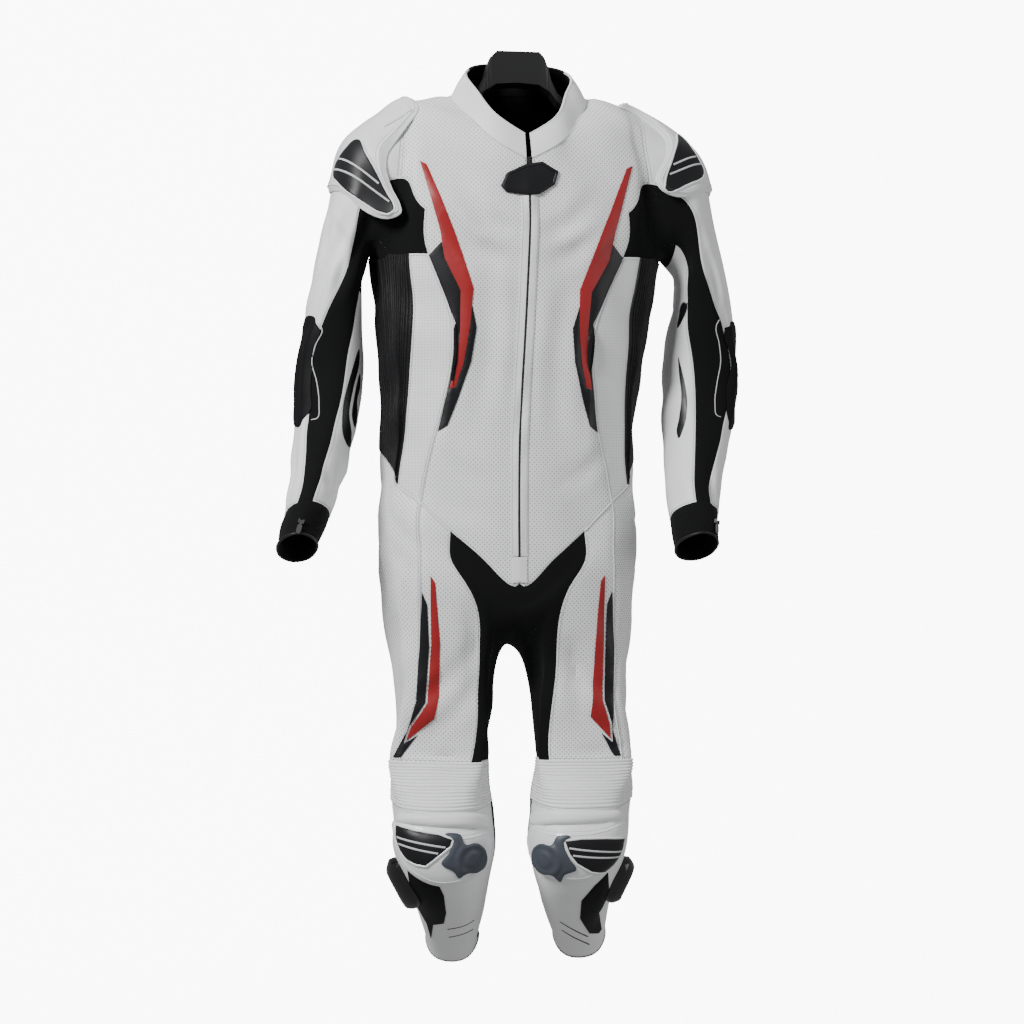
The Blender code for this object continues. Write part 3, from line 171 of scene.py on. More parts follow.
SLEEVE_ANGLES = (       # degrees from the outer side, front positive, columns as above
    (0, 28, 58, 92, 134, 180, 232, 268, 304, 332),
    (0, 32, 64, 100, 140, 180, 232, 268, 302, 332),
    (0, 32, 62, 96, 136, 180, 232, 268, 302, 332),
    (0, 24, 46, 70, 126, 180, 230, 268, 302, 332),
    (0, 16, 31, 47, 114, 172, 226, 268, 302, 332),
    (0, 17, 34, 50, 107, 166, 224, 268, 302, 332),
    (0, 20, 41, 61, 101, 162, 222, 268, 302, 332),
    (0, 20, 41, 61, 101, 162, 222, 268, 302, 332),
    (0, 20, 41, 61, 99, 162, 222, 268, 302, 332))
print("sleeve rings", len(SLEEVE_RINGS), "columns", len(SLEEVE_COLS))


# %% [markdown]
# A filled suit is neither round nor square in section. A superellipse has one number
# for that: with a power of 2 it is an ellipse, and with more it grows squarer. A table is
# read straight between its rows, so a few measured heights are enough.

# %% Points from sizes
RING_POWER = 2.35
FRONT_X = (45.0, 92.0)  # columns 1 and 2, between the opening and the side strip
SIDE_SHARE = 0.91       # column 5 in the ribbed side, as a share of the half width,
SIDE_CLEAR = 6.0        # and at least this far outside the strip's seam
SIDE_COL, SIDE_Y = 6, 3.0


def lookup(table, at, column=1):
    """Read a short table (its first column falls) at a value, straight between rows."""
    keys = [-row[0] for row in table]
    return float(np.interp(-at, keys, [row[column] for row in table]))


def ring_depth(x, half, depth):
    """Depth of a squarish ring at a distance x from its middle."""
    share = min(abs(x) / half, 1.0)
    return depth * (1.0 - share ** RING_POWER) ** (1.0 / RING_POWER)


def torso_point(col, z, opening):
    """A point of the body below the armpit."""
    half, front, back = (lookup(BODY_RINGS, z, c) for c in (1, 2, 3))
    if col == SIDE_COL:
        return (half, SIDE_Y, z)
    if col > SIDE_COL:
        x = BACK_SHARE[col - SIDE_COL - 1] * half
        return (x, ring_depth(x, half, back), z)
    rib_seam = lookup(STRIP_RIB_SEAM, z)
    x = (opening, *FRONT_X, lookup(FRONT_STRIP_SEAM, z), rib_seam,
         max(SIDE_SHARE * half, rib_seam + SIDE_CLEAR))[col]
    return (x, -ring_depth(x, half, front), z)


def ring_point(centre, half, front, back, tilt, angle):
    """A point of a leg's ring: the angle runs from the front to the outer side."""
    turn, lean = math.radians(angle), math.radians(tilt)
    depth = front if math.cos(turn) > 0 else back
    reach = depth * math.cos(turn)
    return (centre[0] + half * math.sin(turn),
            centre[1] - reach * math.cos(lean),
            centre[2] - reach * math.sin(lean))


print("a point at the chest", [round(v) for v in torso_point(3, -400.0, ZIP_HALF)])


# %% [markdown]
# A mesh could be cut into panels after it is made, by painting or by seams. Here each
# face knows its panel from the start, with its place in the cut and its flat place in
# the cloth, which weave and perforation follow later like a UV map.

# %% A net with named panels
MIDDLE = 0.01           # points this near the middle plane belong to both sides
ONE_PIECE = ("back_panel", "yoke_back", "inner_stretch")


class Net:
    """The coarse net: points by key, and faces with the panel that they belong to."""

    def __init__(self):
        self.points, self.keys, self.faces, self.panels = [], {}, [], []
        self.grid, self.cloth, self.side, self.sign = [], [], "l", 1.0

    def put(self, row, col, xyz):
        """The number of a point on the side at work, made when it is first named."""
        key = ("mid" if abs(xyz[0]) < MIDDLE else self.side, row, col)
        if key not in self.keys:
            self.keys[key] = len(self.points)
            self.points.append((self.sign * xyz[0], xyz[1], xyz[2]))
        return self.keys[key]

    def face(self, corners, panel, grid, cloth):
        """A face, wound so that it faces out, with its place in the flat cloth."""
        order = range(len(corners))[::-1] if self.sign < 0 else range(len(corners))
        self.faces.append([corners[i] for i in order])
        self.grid.append([grid[i] for i in order])
        self.cloth.append([(cloth[i][0] * self.sign, cloth[i][1]) for i in order])
        self.panels.append(panel if panel in ONE_PIECE else panel + "_" + self.side)


net = Net()
print("panels cut in one piece", ONE_PIECE)


# %% [markdown]
# The body's faces lie between neighbouring rows, as far as both rows have the columns.
# A cutter lays leather flat, so a point's flat place is its way round from the front
# opening and its way up the cloth.

# %% The body's part of the net
YOKE_ROW = 2            # the back yoke starts this many rows above the armpit
STRIP_COL = 3           # first column of the side strip, and of the chest's stretch


def torso_panel(row, col):
    """The cut panel of a torso face, by its net row and its first column."""
    above = row - TORSO_STEPS
    if col > SIDE_COL:
        return "yoke_back" if above >= YOKE_ROW else "back_panel"
    if above >= 0:
        stretch = above == 0 and col in (STRIP_COL, STRIP_COL + 1)
        return "chest_stretch" if stretch else "front_panel"
    if col > STRIP_COL:
        return "side_rib"
    return "side_strip" if col == STRIP_COL else "front_panel"


def flat_places(net, rows):
    """Each torso point's place in the flat cloth: round from the front, and up."""
    places = {}
    for number, row in enumerate(rows):
        round_it, last = 0.0, None
        for col in sorted(row):
            point = np.array(net.points[row[col]])
            round_it += abs(point[0]) if last is None else np.linalg.norm(point - last)
            last = point
            up = point[2]
            if number and col in rows[number - 1]:
                below = np.array(net.points[rows[number - 1][col]])
                up = places[number - 1, col][1] + np.linalg.norm(point - below)
            places[number, col] = (round_it, up)
    return places


def torso_net(net):
    """The rows of one half of the body, up to the shoulder seam and the neck edge."""
    rows = []
    for step in range(TORSO_STEPS + 1):
        share = step / TORSO_STEPS
        name = {0: "waist", TORSO_STEPS: "chest"}.get(step, "torso%d" % step)
        heights = [low + (high - low) * share for low, high in zip(WAIST_Z, CHEST_Z)]
        rows.append({col: net.put(name, col, torso_point(col, z, ZIP_HALF if step else 0.0))
                     for col, z in enumerate(heights)})
    for name, cells in UPPER_ROWS.items():
        rows.append({col: net.put(name, col, xyz) for col, xyz in cells.items()})
    for back_col, front_col in SHOULDER_MATE.items():
        rows[-1][back_col] = rows[-1][front_col]
    flat = flat_places(net, rows)
    for number, pair in enumerate(zip(rows, rows[1:])):
        for col in range(N_COLS - 1):
            if all(c in row for row in pair for c in (col, col + 1)):
                grid = [(col, number), (col + 1, number),
                        (col + 1, number + 1), (col, number + 1)]
                net.face([pair[r - number][c] for c, r in grid],
                         torso_panel(number, col), grid, [flat[r, c] for c, r in grid])
    return rows


print("body columns", N_COLS, "steps to the armpit", TORSO_STEPS)


# %% [markdown]
# The seat hangs from the waist seam and ends in the fork, where the two legs part. On the
# real suit it is the widest piece of all, cut full for sitting. At the waist two columns
# of the body meet one of the leg, and a triangle closes the corner between them.

# %% The seat
LEG_REACH = 76.0        # radius that turns an angle round the leg into a length of cloth
LETTERS = "abcdefghij"
LOOP = LETTERS + "q"
KNEE_COLS, INNER_COLS, SEAT_INNER = "abcde", "ijqab", "ab"


def leg_panel(zone, col):
    """The cut panel of a seat or leg face."""
    if zone in ("band", "shin"):
        return "knee_" + zone if col in KNEE_COLS else "calf_stretch"
    if col in (SEAT_INNER if zone == "seat" else INNER_COLS):
        return "inner_stretch"
    return "leg_front" if col == "c" else "leg_side"


def seat_net(net, waist):
    """One half of the seat, from the waist seam to the fork; gives the fork's ring."""
    seat = {row: {c: net.put(row, c, xyz) for c, xyz in cells.items()}
            for row, cells in SEAT_ROWS.items()}
    hip, fork = seat["hip"], seat["fork"]
    round_leg = dict(zip(LOOP, LEG_ANGLES["thigh1"]))

    def face(corners, columns):
        cloth = [(math.radians(round_leg[c]) * LEG_REACH, net.points[k][2])
                 for k, c in zip(corners, columns)]
        net.face(corners, leg_panel("seat", columns[0]), [(0, 0)] * len(corners), cloth)

    for c, after in zip(LETTERS, LETTERS[1:]):
        top = [waist[k] for k in LEG_COLS[c]] + [waist[LEG_COLS[after][0]]]
        face([hip[c], hip[after], top[-1], top[-2]], (c, after, after, c))
        if len(top) == 3:       # two waist columns meet one hip column
            face([hip[c], top[1], top[0]], (c, c, c))
        face([fork[c], fork[after], hip[after], hip[c]], (c, after, after, c))
    return [fork[c] for c in LOOP]


print("columns of the seat", LETTERS, "and of a leg's ring", LOOP)


# %% [markdown]
# A leg or a sleeve is a tube: faces between its rings, rolled out flat by the angle round
# the limb. One helper makes both, because only the direction and the names of the panels
# differ. The two halves of the suit are then made by turns, right after left.

# %% Legs and sleeves
SLEEVE_REACH, SLEEVE_TOP = 62.0, -70.0
LEG_ZONES = ("leg", "leg", "leg", "band", "shin", "shin", "shin", "shin")
SLEEVE_PANELS = {"f1": "sleeve_stretch", "f0": "sleeve_inner", "u": "sleeve_inner",
                 "b0": "sleeve_inner"}          # the other columns are sleeve_outer


def tube(net, rings, levels, reach, panel_of):
    """Faces between rings (points, angles, height); levels orders their corners."""
    count = len(rings[0][0])
    for number in range(len(rings) - 1):
        for k in range(count):
            corners, grid, cloth = [], [], []
            for step, level in zip((k, k + 1, k + 1, k), levels):
                ring, angles, down = rings[number + level]
                turn = math.radians(angles[step % count] + 360 * (step // count))
                corners.append(ring[step % count])
                grid.append((step, -number - level))
                cloth.append((turn * reach, down))
            net.face(corners, panel_of(number, k), grid, cloth)


def leg_net(net, fork):
    """One leg, from the fork down to the ankle."""
    rings = [(fork, LEG_ANGLES["thigh1"], SEAT_ROWS["fork"]["d"][2])]
    for name, z, x, y, *sizes in LEG_RINGS:
        ring = [net.put(name, c, ring_point((x, y, z), *sizes, angle))
                for c, angle in zip(LOOP, LEG_ANGLES[name])]
        rings.append((ring, LEG_ANGLES[name], z))
    tube(net, rings, (1, 1, 0, 0), LEG_REACH,
         lambda number, k: leg_panel(LEG_ZONES[number], LOOP[k]))


def sleeve_net(net):
    """One sleeve, from the armhole out to the cuff's edge."""
    armhole = [net.keys[(net.side,) + ARMHOLE[c]] for c in SLEEVE_COLS]
    rings = [(armhole, SLEEVE_ANGLES[0], SLEEVE_TOP)]
    for number, (sizes, angles) in enumerate(zip(SLEEVE_RINGS, SLEEVE_ANGLES)):
        outer_z, inner_z = sizes[:2]
        outer_x, inner_x = sizes[2:4] if net.side == "l" else sizes[4:6]
        centre_y, depth, tilt = sizes[6:]
        lean, ring = math.radians(tilt), []
        for c, angle in zip(SLEEVE_COLS, angles):
            turn = math.radians(angle)
            across, reach = math.cos(turn), depth * math.sin(turn)
            x = (outer_x + inner_x) / 2 + (outer_x - inner_x) / 2 * across
            z = (outer_z + inner_z) / 2 + (outer_z - inner_z) / 2 * across
            ring.append(net.put("sleeve%d" % number, c, (
                x, centre_y - reach * math.cos(lean), z + reach * math.sin(lean))))
        rings.append((ring, angles, outer_z))
    tube(net, rings, (0, 0, 1, 1), -SLEEVE_REACH,
         lambda number, k: "cuff" if number == len(SLEEVE_RINGS) - 1
         else SLEEVE_PANELS.get(SLEEVE_COLS[k], "sleeve_outer"))


SIDES = (("l", 1.0), ("r", -1.0))       # the wearer's left is on the side of +X
for side, sign in SIDES:
    net.side, net.sign = side, sign
    rows = torso_net(net)
    leg_net(net, seat_net(net, rows[0]))
    sleeve_net(net)
print("net points", len(net.points), "faces", len(net.faces))


# %% [markdown]
# Hung up, the suit leans a little and both knees turn the same way. An armature could
# turn them, but a rule for each point is shorter, and it also serves for the outlines
# of what is laid on the knees.

# %% How it hangs
LEAN = ((-200, 2), (-300, 0), (-560, -12), (-700, -12), (-900, -9), (-1300, -9))
KNEE_TURN = -11.0       # degrees, both knees turned the same way on the hanger
KNEE_TURN_FROM, KNEE_TURN_TO = -850.0, -985.0
LEG_AXIS = (95.0, -20.0)


def hang(point):
    """Turn the knees and lean the body as the suit hangs."""
    x, y, z = point
    share = (KNEE_TURN_FROM - z) / (KNEE_TURN_FROM - KNEE_TURN_TO)
    share = min(max(share, 0.0), 1.0)
    turn = math.radians(KNEE_TURN) * share * share * (3.0 - 2.0 * share)
    axis_x = math.copysign(LEG_AXIS[0], x)
    dx, dy = x - axis_x, y - LEG_AXIS[1]
    if z < KNEE_TURN_FROM:
        x = axis_x + dx * math.cos(turn) - dy * math.sin(turn)
        y = LEG_AXIS[1] + dx * math.sin(turn) + dy * math.cos(turn)
    return (x + lookup(LEAN, z), y, z)


print("the knees turn by", KNEE_TURN, "degrees")


# %% [markdown]
# Blender's Subdivision Surface smooths the net, as padding rounds a filled suit. But it
# shrinks what it smooths. So the cage is corrected a few times until the smooth surface
# passes through the sizes of the tables, and only then is it divided finely.

# %% Smoothing
def smooth(points, net, levels):
    """Subdivide the net; its points land on the limit surface."""
    mesh = bpy.data.meshes.new("net")
    mesh.from_pydata([Vector(p) for p in points], [], net.faces)
    tag = mesh.attributes.new("panel", "INT", "FACE")
    names = sorted(set(net.panels))
    tag.data.foreach_set("value", [names.index(p) for p in net.panels])
    for layer_name, rows in (("grid", net.grid), ("cloth", net.cloth)):
        layer = mesh.uv_layers.new(name=layer_name)
        layer.data.foreach_set("uv", [v for cells in rows for cell in cells for v in cell])
    holder = bpy.data.objects.new("net", mesh)
    bpy.context.collection.objects.link(holder)
    modifier = holder.modifiers.new("smooth", "SUBSURF")
    modifier.levels = modifier.render_levels = levels
    modifier.uv_smooth = "NONE"
    modifier.boundary_smooth = "PRESERVE_CORNERS"
    modifier.use_limit_surface = True
    graph = bpy.context.evaluated_depsgraph_get()
    result = holder.evaluated_get(graph).to_mesh()
    flat = np.empty(len(result.vertices) * 3)
    result.vertices.foreach_get("co", flat)
    tags = np.empty(len(result.polygons), int)
    result.attributes["panel"].data.foreach_get("value", tags)
    corners = np.empty(len(result.loops), int)
    result.loops.foreach_get("vertex_index", corners)
    layers = {}
    for layer_name in ("grid", "cloth"):
        uv = np.empty(len(result.loops) * 2)
        result.uv_layers[layer_name].data.foreach_get("uv", uv)
        layers[layer_name] = uv.reshape(-1, 4, 2)
    bpy.data.objects.remove(holder, do_unlink=True)
    bpy.data.meshes.remove(mesh)
    return flat.reshape(-1, 3), corners.reshape(-1, 4), [names[t] for t in tags], layers


def point_normals(points, faces):
    """Smooth normals of quads."""
    turn = np.cross(points[faces[:, 2]] - points[faces[:, 0]],
                    points[faces[:, 3]] - points[faces[:, 1]])
    normals = np.zeros_like(points)
    for corner in range(4):
        np.add.at(normals, faces[:, corner], turn)
    return normals / np.linalg.norm(normals, axis=1)[:, None]


print("divided once", len(smooth(net.points, net, 1)[0]), "points")


# %% [markdown]
# The correction is simple: measure how far the smooth surface misses each point of the
# table, move the cage by that much, and do it again. Four rounds bring it within a hair.

# %% The smooth cloth
FIT_ROUNDS = 4          # passes that bring the smooth surface through the table's points
LEVELS = 3              # subdivisions of the net for the visible cloth

target = np.array([hang(p) for p in net.points])
cage = target.copy()
for _ in range(FIT_ROUNDS):
    cage += target - smooth(cage, net, 1)[0][:len(target)]
points, faces, tags, layers = smooth(cage, net, LEVELS)
normals = point_normals(points, faces)
panel_faces = {}
for number, tag in enumerate(tags):
    panel_faces.setdefault(tag, []).append(number)
print("cloth points", len(points), "panels", len(panel_faces))


# %% [markdown]
# What is sewn on a garment lies on the cloth below it. Blender's Shrinkwrap modifier can
# lay one mesh on another, but it rounds off sharp outlines. Here rays are cast onto the
# cloth's triangles instead, which also gives a smooth normal at each point they meet.

# %% Rays onto a surface
FAR = 900.0             # rays start this far out
GRAZING = -0.06         # a ray flatter than this to the surface misses it


def rim_of(corners):
    """The border edges of a patch, in the direction of its faces."""
    edges = {}
    for face in corners:
        for k, a in enumerate(face):
            edges[(int(a), int(face[(k + 1) % len(face)]))] = True
    return [e for e in edges if (e[1], e[0]) not in edges]


class Surface:
    """Triangles with a smooth normal at each point."""

    def __init__(self, points, normals, triangles):
        self.points, self.normals, self.triangles = points, normals, triangles
        self.tree = BVHTree.FromPolygons(points.tolist(), triangles)

    def meets(self, origin, direction):
        """Whether a ray meets the outside of the surface."""
        place, facing = self.tree.ray_cast(Vector(origin), Vector(direction))[:2]
        return place is not None and facing.dot(Vector(direction)) < GRAZING

    def hit(self, origin, direction):
        """First point on a ray, or else the nearest one, with its smooth normal."""
        place, _, number, _ = self.tree.ray_cast(Vector(origin), Vector(direction))
        if place is None:
            reach = Vector(origin) + Vector(direction) * FAR
            place, _, number, _ = self.tree.find_nearest(reach)
        corners = self.triangles[number]
        a, b, c = (self.points[k] for k in corners)
        place = np.array(place)
        v0, v1, v2 = b - a, c - a, place - a
        d00, d01, d11 = v0 @ v0, v0 @ v1, v1 @ v1
        d20, d21 = v2 @ v0, v2 @ v1
        scale = max(d00 * d11 - d01 * d01, 1e-12)
        share_b = (d11 * d20 - d01 * d21) / scale
        share_c = (d00 * d21 - d01 * d20) / scale
        shares = (1.0 - share_b - share_c, share_b, share_c)
        normal = sum(s * self.normals[k] for s, k in zip(shares, corners))
        return place, normal / np.linalg.norm(normal)


def surface_of(*stems):
    """Some panels of the cloth as one surface to lay pieces on."""
    triangles = []
    for tag, numbers in panel_faces.items():
        if tag.startswith(stems):
            for a, b, c, d in faces[numbers]:
                triangles += [(a, b, c), (a, c, d)]
    return Surface(points, normals, triangles)


print("cloth triangles", len(surface_of("").triangles))


# %% [markdown]
# An outline is easiest to draw flat, on paper. A view turns such a drawing into rays:
# straight along an axis for what is seen from far, or out from an eye for what wraps
# round a shoulder or a knee. Outlines may also be drawn from a stand in front of the
# suit, a little to the wearer's right, and then be carried into another view.

# %% Views to draw with
EYE_SCALE = 150.0       # size of a drawing that is made from an eye


class View:
    """A projection to lay outlines with: straight along an axis, or from an eye."""

    def __init__(self, axis, eye=None):
        self.axis = np.array(axis, float) / np.linalg.norm(axis)
        up = np.array((0.0, 0.0, 1.0))
        self.right = np.cross(self.axis, up)
        self.right /= np.linalg.norm(self.right)
        self.up = np.cross(self.right, self.axis)
        self.eye = None if eye is None else np.array(eye, float)

    def flat(self, point):
        """Where a point falls in the drawing."""
        rel = point - (self.eye if self.eye is not None else 0.0)
        u, v = rel @ self.right, rel @ self.up
        if self.eye is None:
            return np.array((u, v))
        away = rel @ self.axis
        return np.array((u, v)) / away * EYE_SCALE if away > 1.0 else None

    def ray(self, spot):
        """The line of sight through a spot of the drawing, from outside."""
        if self.eye is None:
            origin = self.right * spot[0] + self.up * spot[1] - self.axis * FAR
            return origin, self.axis
        way = self.axis + (self.right * spot[0] + self.up * spot[1]) / EYE_SCALE
        way /= np.linalg.norm(way)
        return self.eye + way * FAR, -way


FRONT = View((0, 1, 0))
print("a drawing from the front runs along", FRONT.right, FRONT.up)


# %% Drawing from the stand
STAND_TURN, STAND_AWAY = math.radians(-9.0), 3200.0
STAND_AIM = np.array((-5.6, 0.0, -641.0))
STAND_AXIS = np.array((-math.sin(STAND_TURN), math.cos(STAND_TURN), 0.0))
STAND_RIGHT = np.array((math.cos(STAND_TURN), math.sin(STAND_TURN), 0.0))
STAND = STAND_AIM - STAND_AXIS * STAND_AWAY
SEEN = View(STAND_AXIS)
SLIDE_STEPS = np.linspace(0.0, 0.6, 31)     # shares of the way to a drawing's middle


def sight_line(spot):
    """The line of sight from the stand to a spot (across, height) at arm's depth."""
    target = STAND_AIM + STAND_RIGHT * spot[0]
    target[2] = spot[1]
    way = (target - STAND) / np.linalg.norm(target - STAND)
    return target - way * FAR, way


def seen(surface, view, spots):
    """Spots drawn from the stand, in another drawing of the same surface.

    A spot beside the surface slides towards the middle of the spots until it is on it.
    """
    middle = np.mean(spots, axis=0)
    result = []
    for spot in spots:
        for share in SLIDE_STEPS:
            line = sight_line(np.array(spot) + (middle - spot) * share)
            if surface.meets(*line):
                break
        result.append(view.flat(surface.hit(*line)[0]))
    return result


print("the stand is at", [round(v) for v in STAND])


# %% [markdown]
# Leather keeps the creases of wear, most of all at the elbows, the waist and the hips.
# Blender's cloth simulation drapes thin cloth well, but it doesn't know stiff leather
# that was worn into shape. So each fold is a row of a table: a soft trough with a low
# ridge beside it, as uneven in length, depth and spacing as on a worn suit.

# %% Folds
FOLDS = (               # seen from, half width, depth, (across, z) points
    ("front", 9, 3.2, ((-77, -764), (-71, -820), (-74, -904))),
    ("front", 9, 3.2, ((65, -817), (71, -876), (78, -932))),
    ("front", 10, 1.6, ((-184, -640), (-156, -690))),
    ("front", 10, 1.4, ((-184, -682), (-150, -726))),
    ("front", 10, 1.5, ((176, -642), (146, -696))),
    ("front", 6, 2.0, ((-160, -966), (-110, -974), (-56, -970))),
    ("front", 6, 2.0, ((150, -962), (100, -972), (50, -972))),
    ("front", 5, 2.2, ((-258, -552), (-236, -566))),
    ("front", 5, 2.2, ((-262, -580), (-242, -592))),
    ("front", 7, 2.8, ((-262, -204), (-248, -274), (-254, -344))),
    ("front", 7, 3.2, ((266, -284), (276, -330), (287, -366))),
    ("front", 6, 2.2, ((290, -346), (300, -400))),
    ("front", 12, 3.2, ((-100, -200), (-60, -246), (-20, -262))),
    ("front", 12, 2.4, ((-118, -236), (-74, -286), (-30, -306))),
    ("front", 12, 2.0, ((96, -250), (64, -290), (26, -304))),
    ("front", 12, 2.4, ((96, -214), (58, -250), (22, -262))),
    ("front", 9, 3.0, ((-206, -236), (-232, -290), (-262, -352))),
    ("front", 8, 1.8, ((-236, -226), (-262, -296), (-286, -372))),
    ("front", 7, 1.6, ((-262, -250), (-280, -318))),
    ("front", 8, 2.0, ((214, -246), (236, -300), (262, -362))),
    ("front", 7, 1.5, ((246, -236), (266, -300), (282, -352))),
    ("front", 7, 1.8, ((-282, -560), (-268, -600), (-262, -648))),
    ("front", 7, 1.6, ((262, -552), (256, -600), (262, -640))),
    ("front", 14, 2.2, ((-60, -300), (-52, -400), (-66, -520))),
    ("front", 14, 2.0, ((52, -330), (40, -430), (44, -540))),
    ("front", 10, 1.6, ((-120, -560), (-84, -588), (-40, -600))),
    ("front", 10, 1.6, ((112, -556), (76, -590), (30, -604))),
    ("front", 9, 1.4, ((-128, -610), (-92, -640), (-50, -652))),
    ("front", 11, 2.0, ((-70, -820), (-104, -868), (-150, -900))),
    ("front", 10, 1.8, ((-72, -880), (-100, -920), (-140, -948))),
    ("front", 11, 2.0, ((54, -826), (86, -872), (132, -900))),
    ("front", 10, 1.6, ((62, -890), (90, -930), (118, -944))),
    ("front", 9, 1.6, ((-150, -690), (-162, -760), (-158, -840))),
    ("front", 9, 1.6, ((136, -700), (146, -770), (140, -846))),
    ("left", 9, 2.0, ((-20, -600), (-6, -680), (-30, -780))),
    ("left", 9, 2.0, ((40, -620), (56, -720), (44, -820))),
    ("left", 8, 1.8, ((20, -200), (34, -290), (30, -380))),
    ("left", 7, 1.6, ((-30, -230), (-22, -300))),
    ("left", 7, 1.8, ((-40, -540), (-66, -590), (-92, -640))),
    ("right", 9, 2.0, ((-16, -610), (0, -690), (-24, -770))),
    ("right", 9, 2.0, ((44, -640), (52, -740), (38, -830))),
    ("right", 8, 1.8, ((24, -210), (30, -300), (34, -370))),
    ("right", 7, 1.6, ((-26, -240), (-18, -310))),
    ("right", 7, 1.8, ((-44, -546), (-70, -600), (-90, -646))),
    ("back", 12, 2.6, ((-130, -520), (-60, -548), (20, -540), (110, -556))),
    ("back", 11, 2.4, ((-118, -580), (-40, -600), (60, -592), (128, -606))),
    ("back", 10, 2.0, ((-96, -640), (0, -656), (90, -644))),
    ("back", 14, 2.2, ((-150, -250), (-110, -330), (-96, -430))),
    ("back", 14, 2.2, ((146, -250), (110, -340), (90, -440))),
    ("back", 12, 2.2, ((-30, -760), (-80, -800), (-140, -812))),
    ("back", 12, 2.2, ((10, -760), (60, -804), (120, -816))),
    ("back", 9, 2.0, ((-150, -900), (-100, -930), (-60, -920))),
    ("back", 9, 2.0, ((140, -900), (90, -934), (50, -922))),
    ("back", 8, 2.0, ((-230, -300), (-250, -360), (-262, -430))),
    ("back", 8, 2.0, ((236, -300), (256, -366), (270, -430))))
DEEPER = 1.9            # every crease is this much deeper than its table says
RIDGE_SHARE = 0.35      # height of the ridge beside a trough, as a share of its depth
RIDGE_AWAY, RIDGE_WIDE = 1.8, 0.7   # its distance and width, in half widths of the trough
END_TAPER = 0.6         # less than 1 keeps a fold deep almost to its ends
EYES = {"front": (0, 1, 0), "back": (0, -1, 0), "left": (-1, 0, 0), "right": (1, 0, 0)}


def on_cloth(surface, seen_from, across, z):
    """The spot of the cloth behind a spot that is seen from one side."""
    way = np.array(EYES[seen_from], float)
    start = np.array((across, 0, z) if way[1] else (0, across, z), float) - way * FAR
    return surface.hit(start, way)


def crease(line, facing, half, depth):
    """How far each point moves for one fold along a broken line."""
    nearest, share_at = np.full(len(points), math.inf), np.zeros(len(points))
    for number, (a, b) in enumerate(zip(line, line[1:])):
        along = b - a
        share = np.clip((points - a) @ along / (along @ along), 0, 1)
        away = np.linalg.norm(points - a - share[:, None] * along, axis=1)
        closer = away < nearest
        nearest[closer] = away[closer]
        share_at[closer] = (number + share[closer]) / (len(line) - 1)
    taper = np.sin(np.clip(share_at, 0.02, 0.98) * math.pi) ** END_TAPER
    trough = np.exp(-(nearest / half) ** 2)
    ridge = RIDGE_SHARE * np.exp(-((nearest - RIDGE_AWAY * half) / (RIDGE_WIDE * half)) ** 2)
    same_side = np.clip(normals @ facing * 2, 0, 1)
    return depth * taper * (ridge - trough) * same_side


print("folds", len(FOLDS), "longest", max(len(row[3]) for row in FOLDS), "points")


# %% [markdown]
# Between the folds the leather is never quite even. A noise texture could displace it,
# but a few slow waves added together do the same and repeat exactly. The open edges stay
# where they are, so that collar and hems still fit them.

# %% Folds and waves on the cloth
WAVES = (               # length of a wave along x, y, z, shift, height
    (150, 210, 118, 0.4, 0.9), (95, 130, 240, 1.9, 0.8), (260, 90, 84, 3.1, 0.7),
    (70, 160, 66, 4.6, 0.45))
SETTLE = 1.2            # the cloth lies this much inside the sizes, between the waves


def unevenness(spots):
    """Leather is never quite even: a few slow waves added together."""
    total = np.zeros(len(spots))
    for x, y, z, shift, height in WAVES:
        total += height * np.sin(spots @ (math.tau / np.array((x, y, z))) + shift)
    return total


bare = surface_of("")
moves = unevenness(points) - SETTLE
moves[[k for pair in rim_of(faces) for k in pair]] = 0.0
for seen_from, half, depth, spots in FOLDS:
    placed = [on_cloth(bare, seen_from, across, z) for across, z in spots]
    moves += crease([p for p, _ in placed], placed[len(placed) // 2][1], half,
                    depth * DEEPER)
points = points + normals * moves[:, None]
normals = point_normals(points, faces)
print("deepest fold", round(float(-moves.min()), 1), "mm")


# %% [markdown]
# Every finish is a node tree: a Principled shader with textures for colour, shine and
# small bumps. An image texture would need a file and a UV layout, while nodes are sharp
# at any distance. A small helper adds a node and joins it in one line.

# %% A helper for finishes
def nodes_of(name, colour, rough, metal=0.0):
    """A new finish with its shader, and a helper that adds and joins nodes."""
    finish = bpy.data.materials.new(name)
    finish.use_nodes = True
    tree = finish.node_tree
    shader = tree.nodes["Principled BSDF"]
    shader.inputs["Base Color"].default_value = (*colour, 1.0)
    shader.inputs["Roughness"].default_value = rough
    shader.inputs["Metallic"].default_value = metal

    def add(kind, inputs=(), **settings):
        node = tree.nodes.new(kind)
        for key, value in settings.items():
            setattr(node, key, value)
        for key, value in dict(inputs).items():
            if isinstance(value, bpy.types.NodeSocket):
                tree.links.new(value, node.inputs[key])
            else:
                node.inputs[key].default_value = value
        return node

    def join(source, target):
        tree.links.new(source, target)

    return finish, shader, add, join


print("helper:", nodes_of.__doc__)


# %% [markdown]
# Large parts of race leather are perforated for cooling. Holes by the thousand would be
# costly as geometry, so they are dots in the material, counted in the flat cloth: its
# places are scaled until a hole is one unit apart from the next, and only the fraction
# of each place and its distance from the middle are kept. The dots are painted dark:
# the shade inside each hole, and the dark lining seen through it.

# %% Perforations
HOLE_PITCH, FINE_PITCH, HOLE_RADIUS = 0.0062, 0.0040, 0.0009    # metres
HOLE_PAINTED_SHADE = 0.22       # painted shade: a hole is darkened to this much of the leather's own tone
HOLE_FLOOR = 0.7        # the painted dark floor of a hole, as a share of its radius
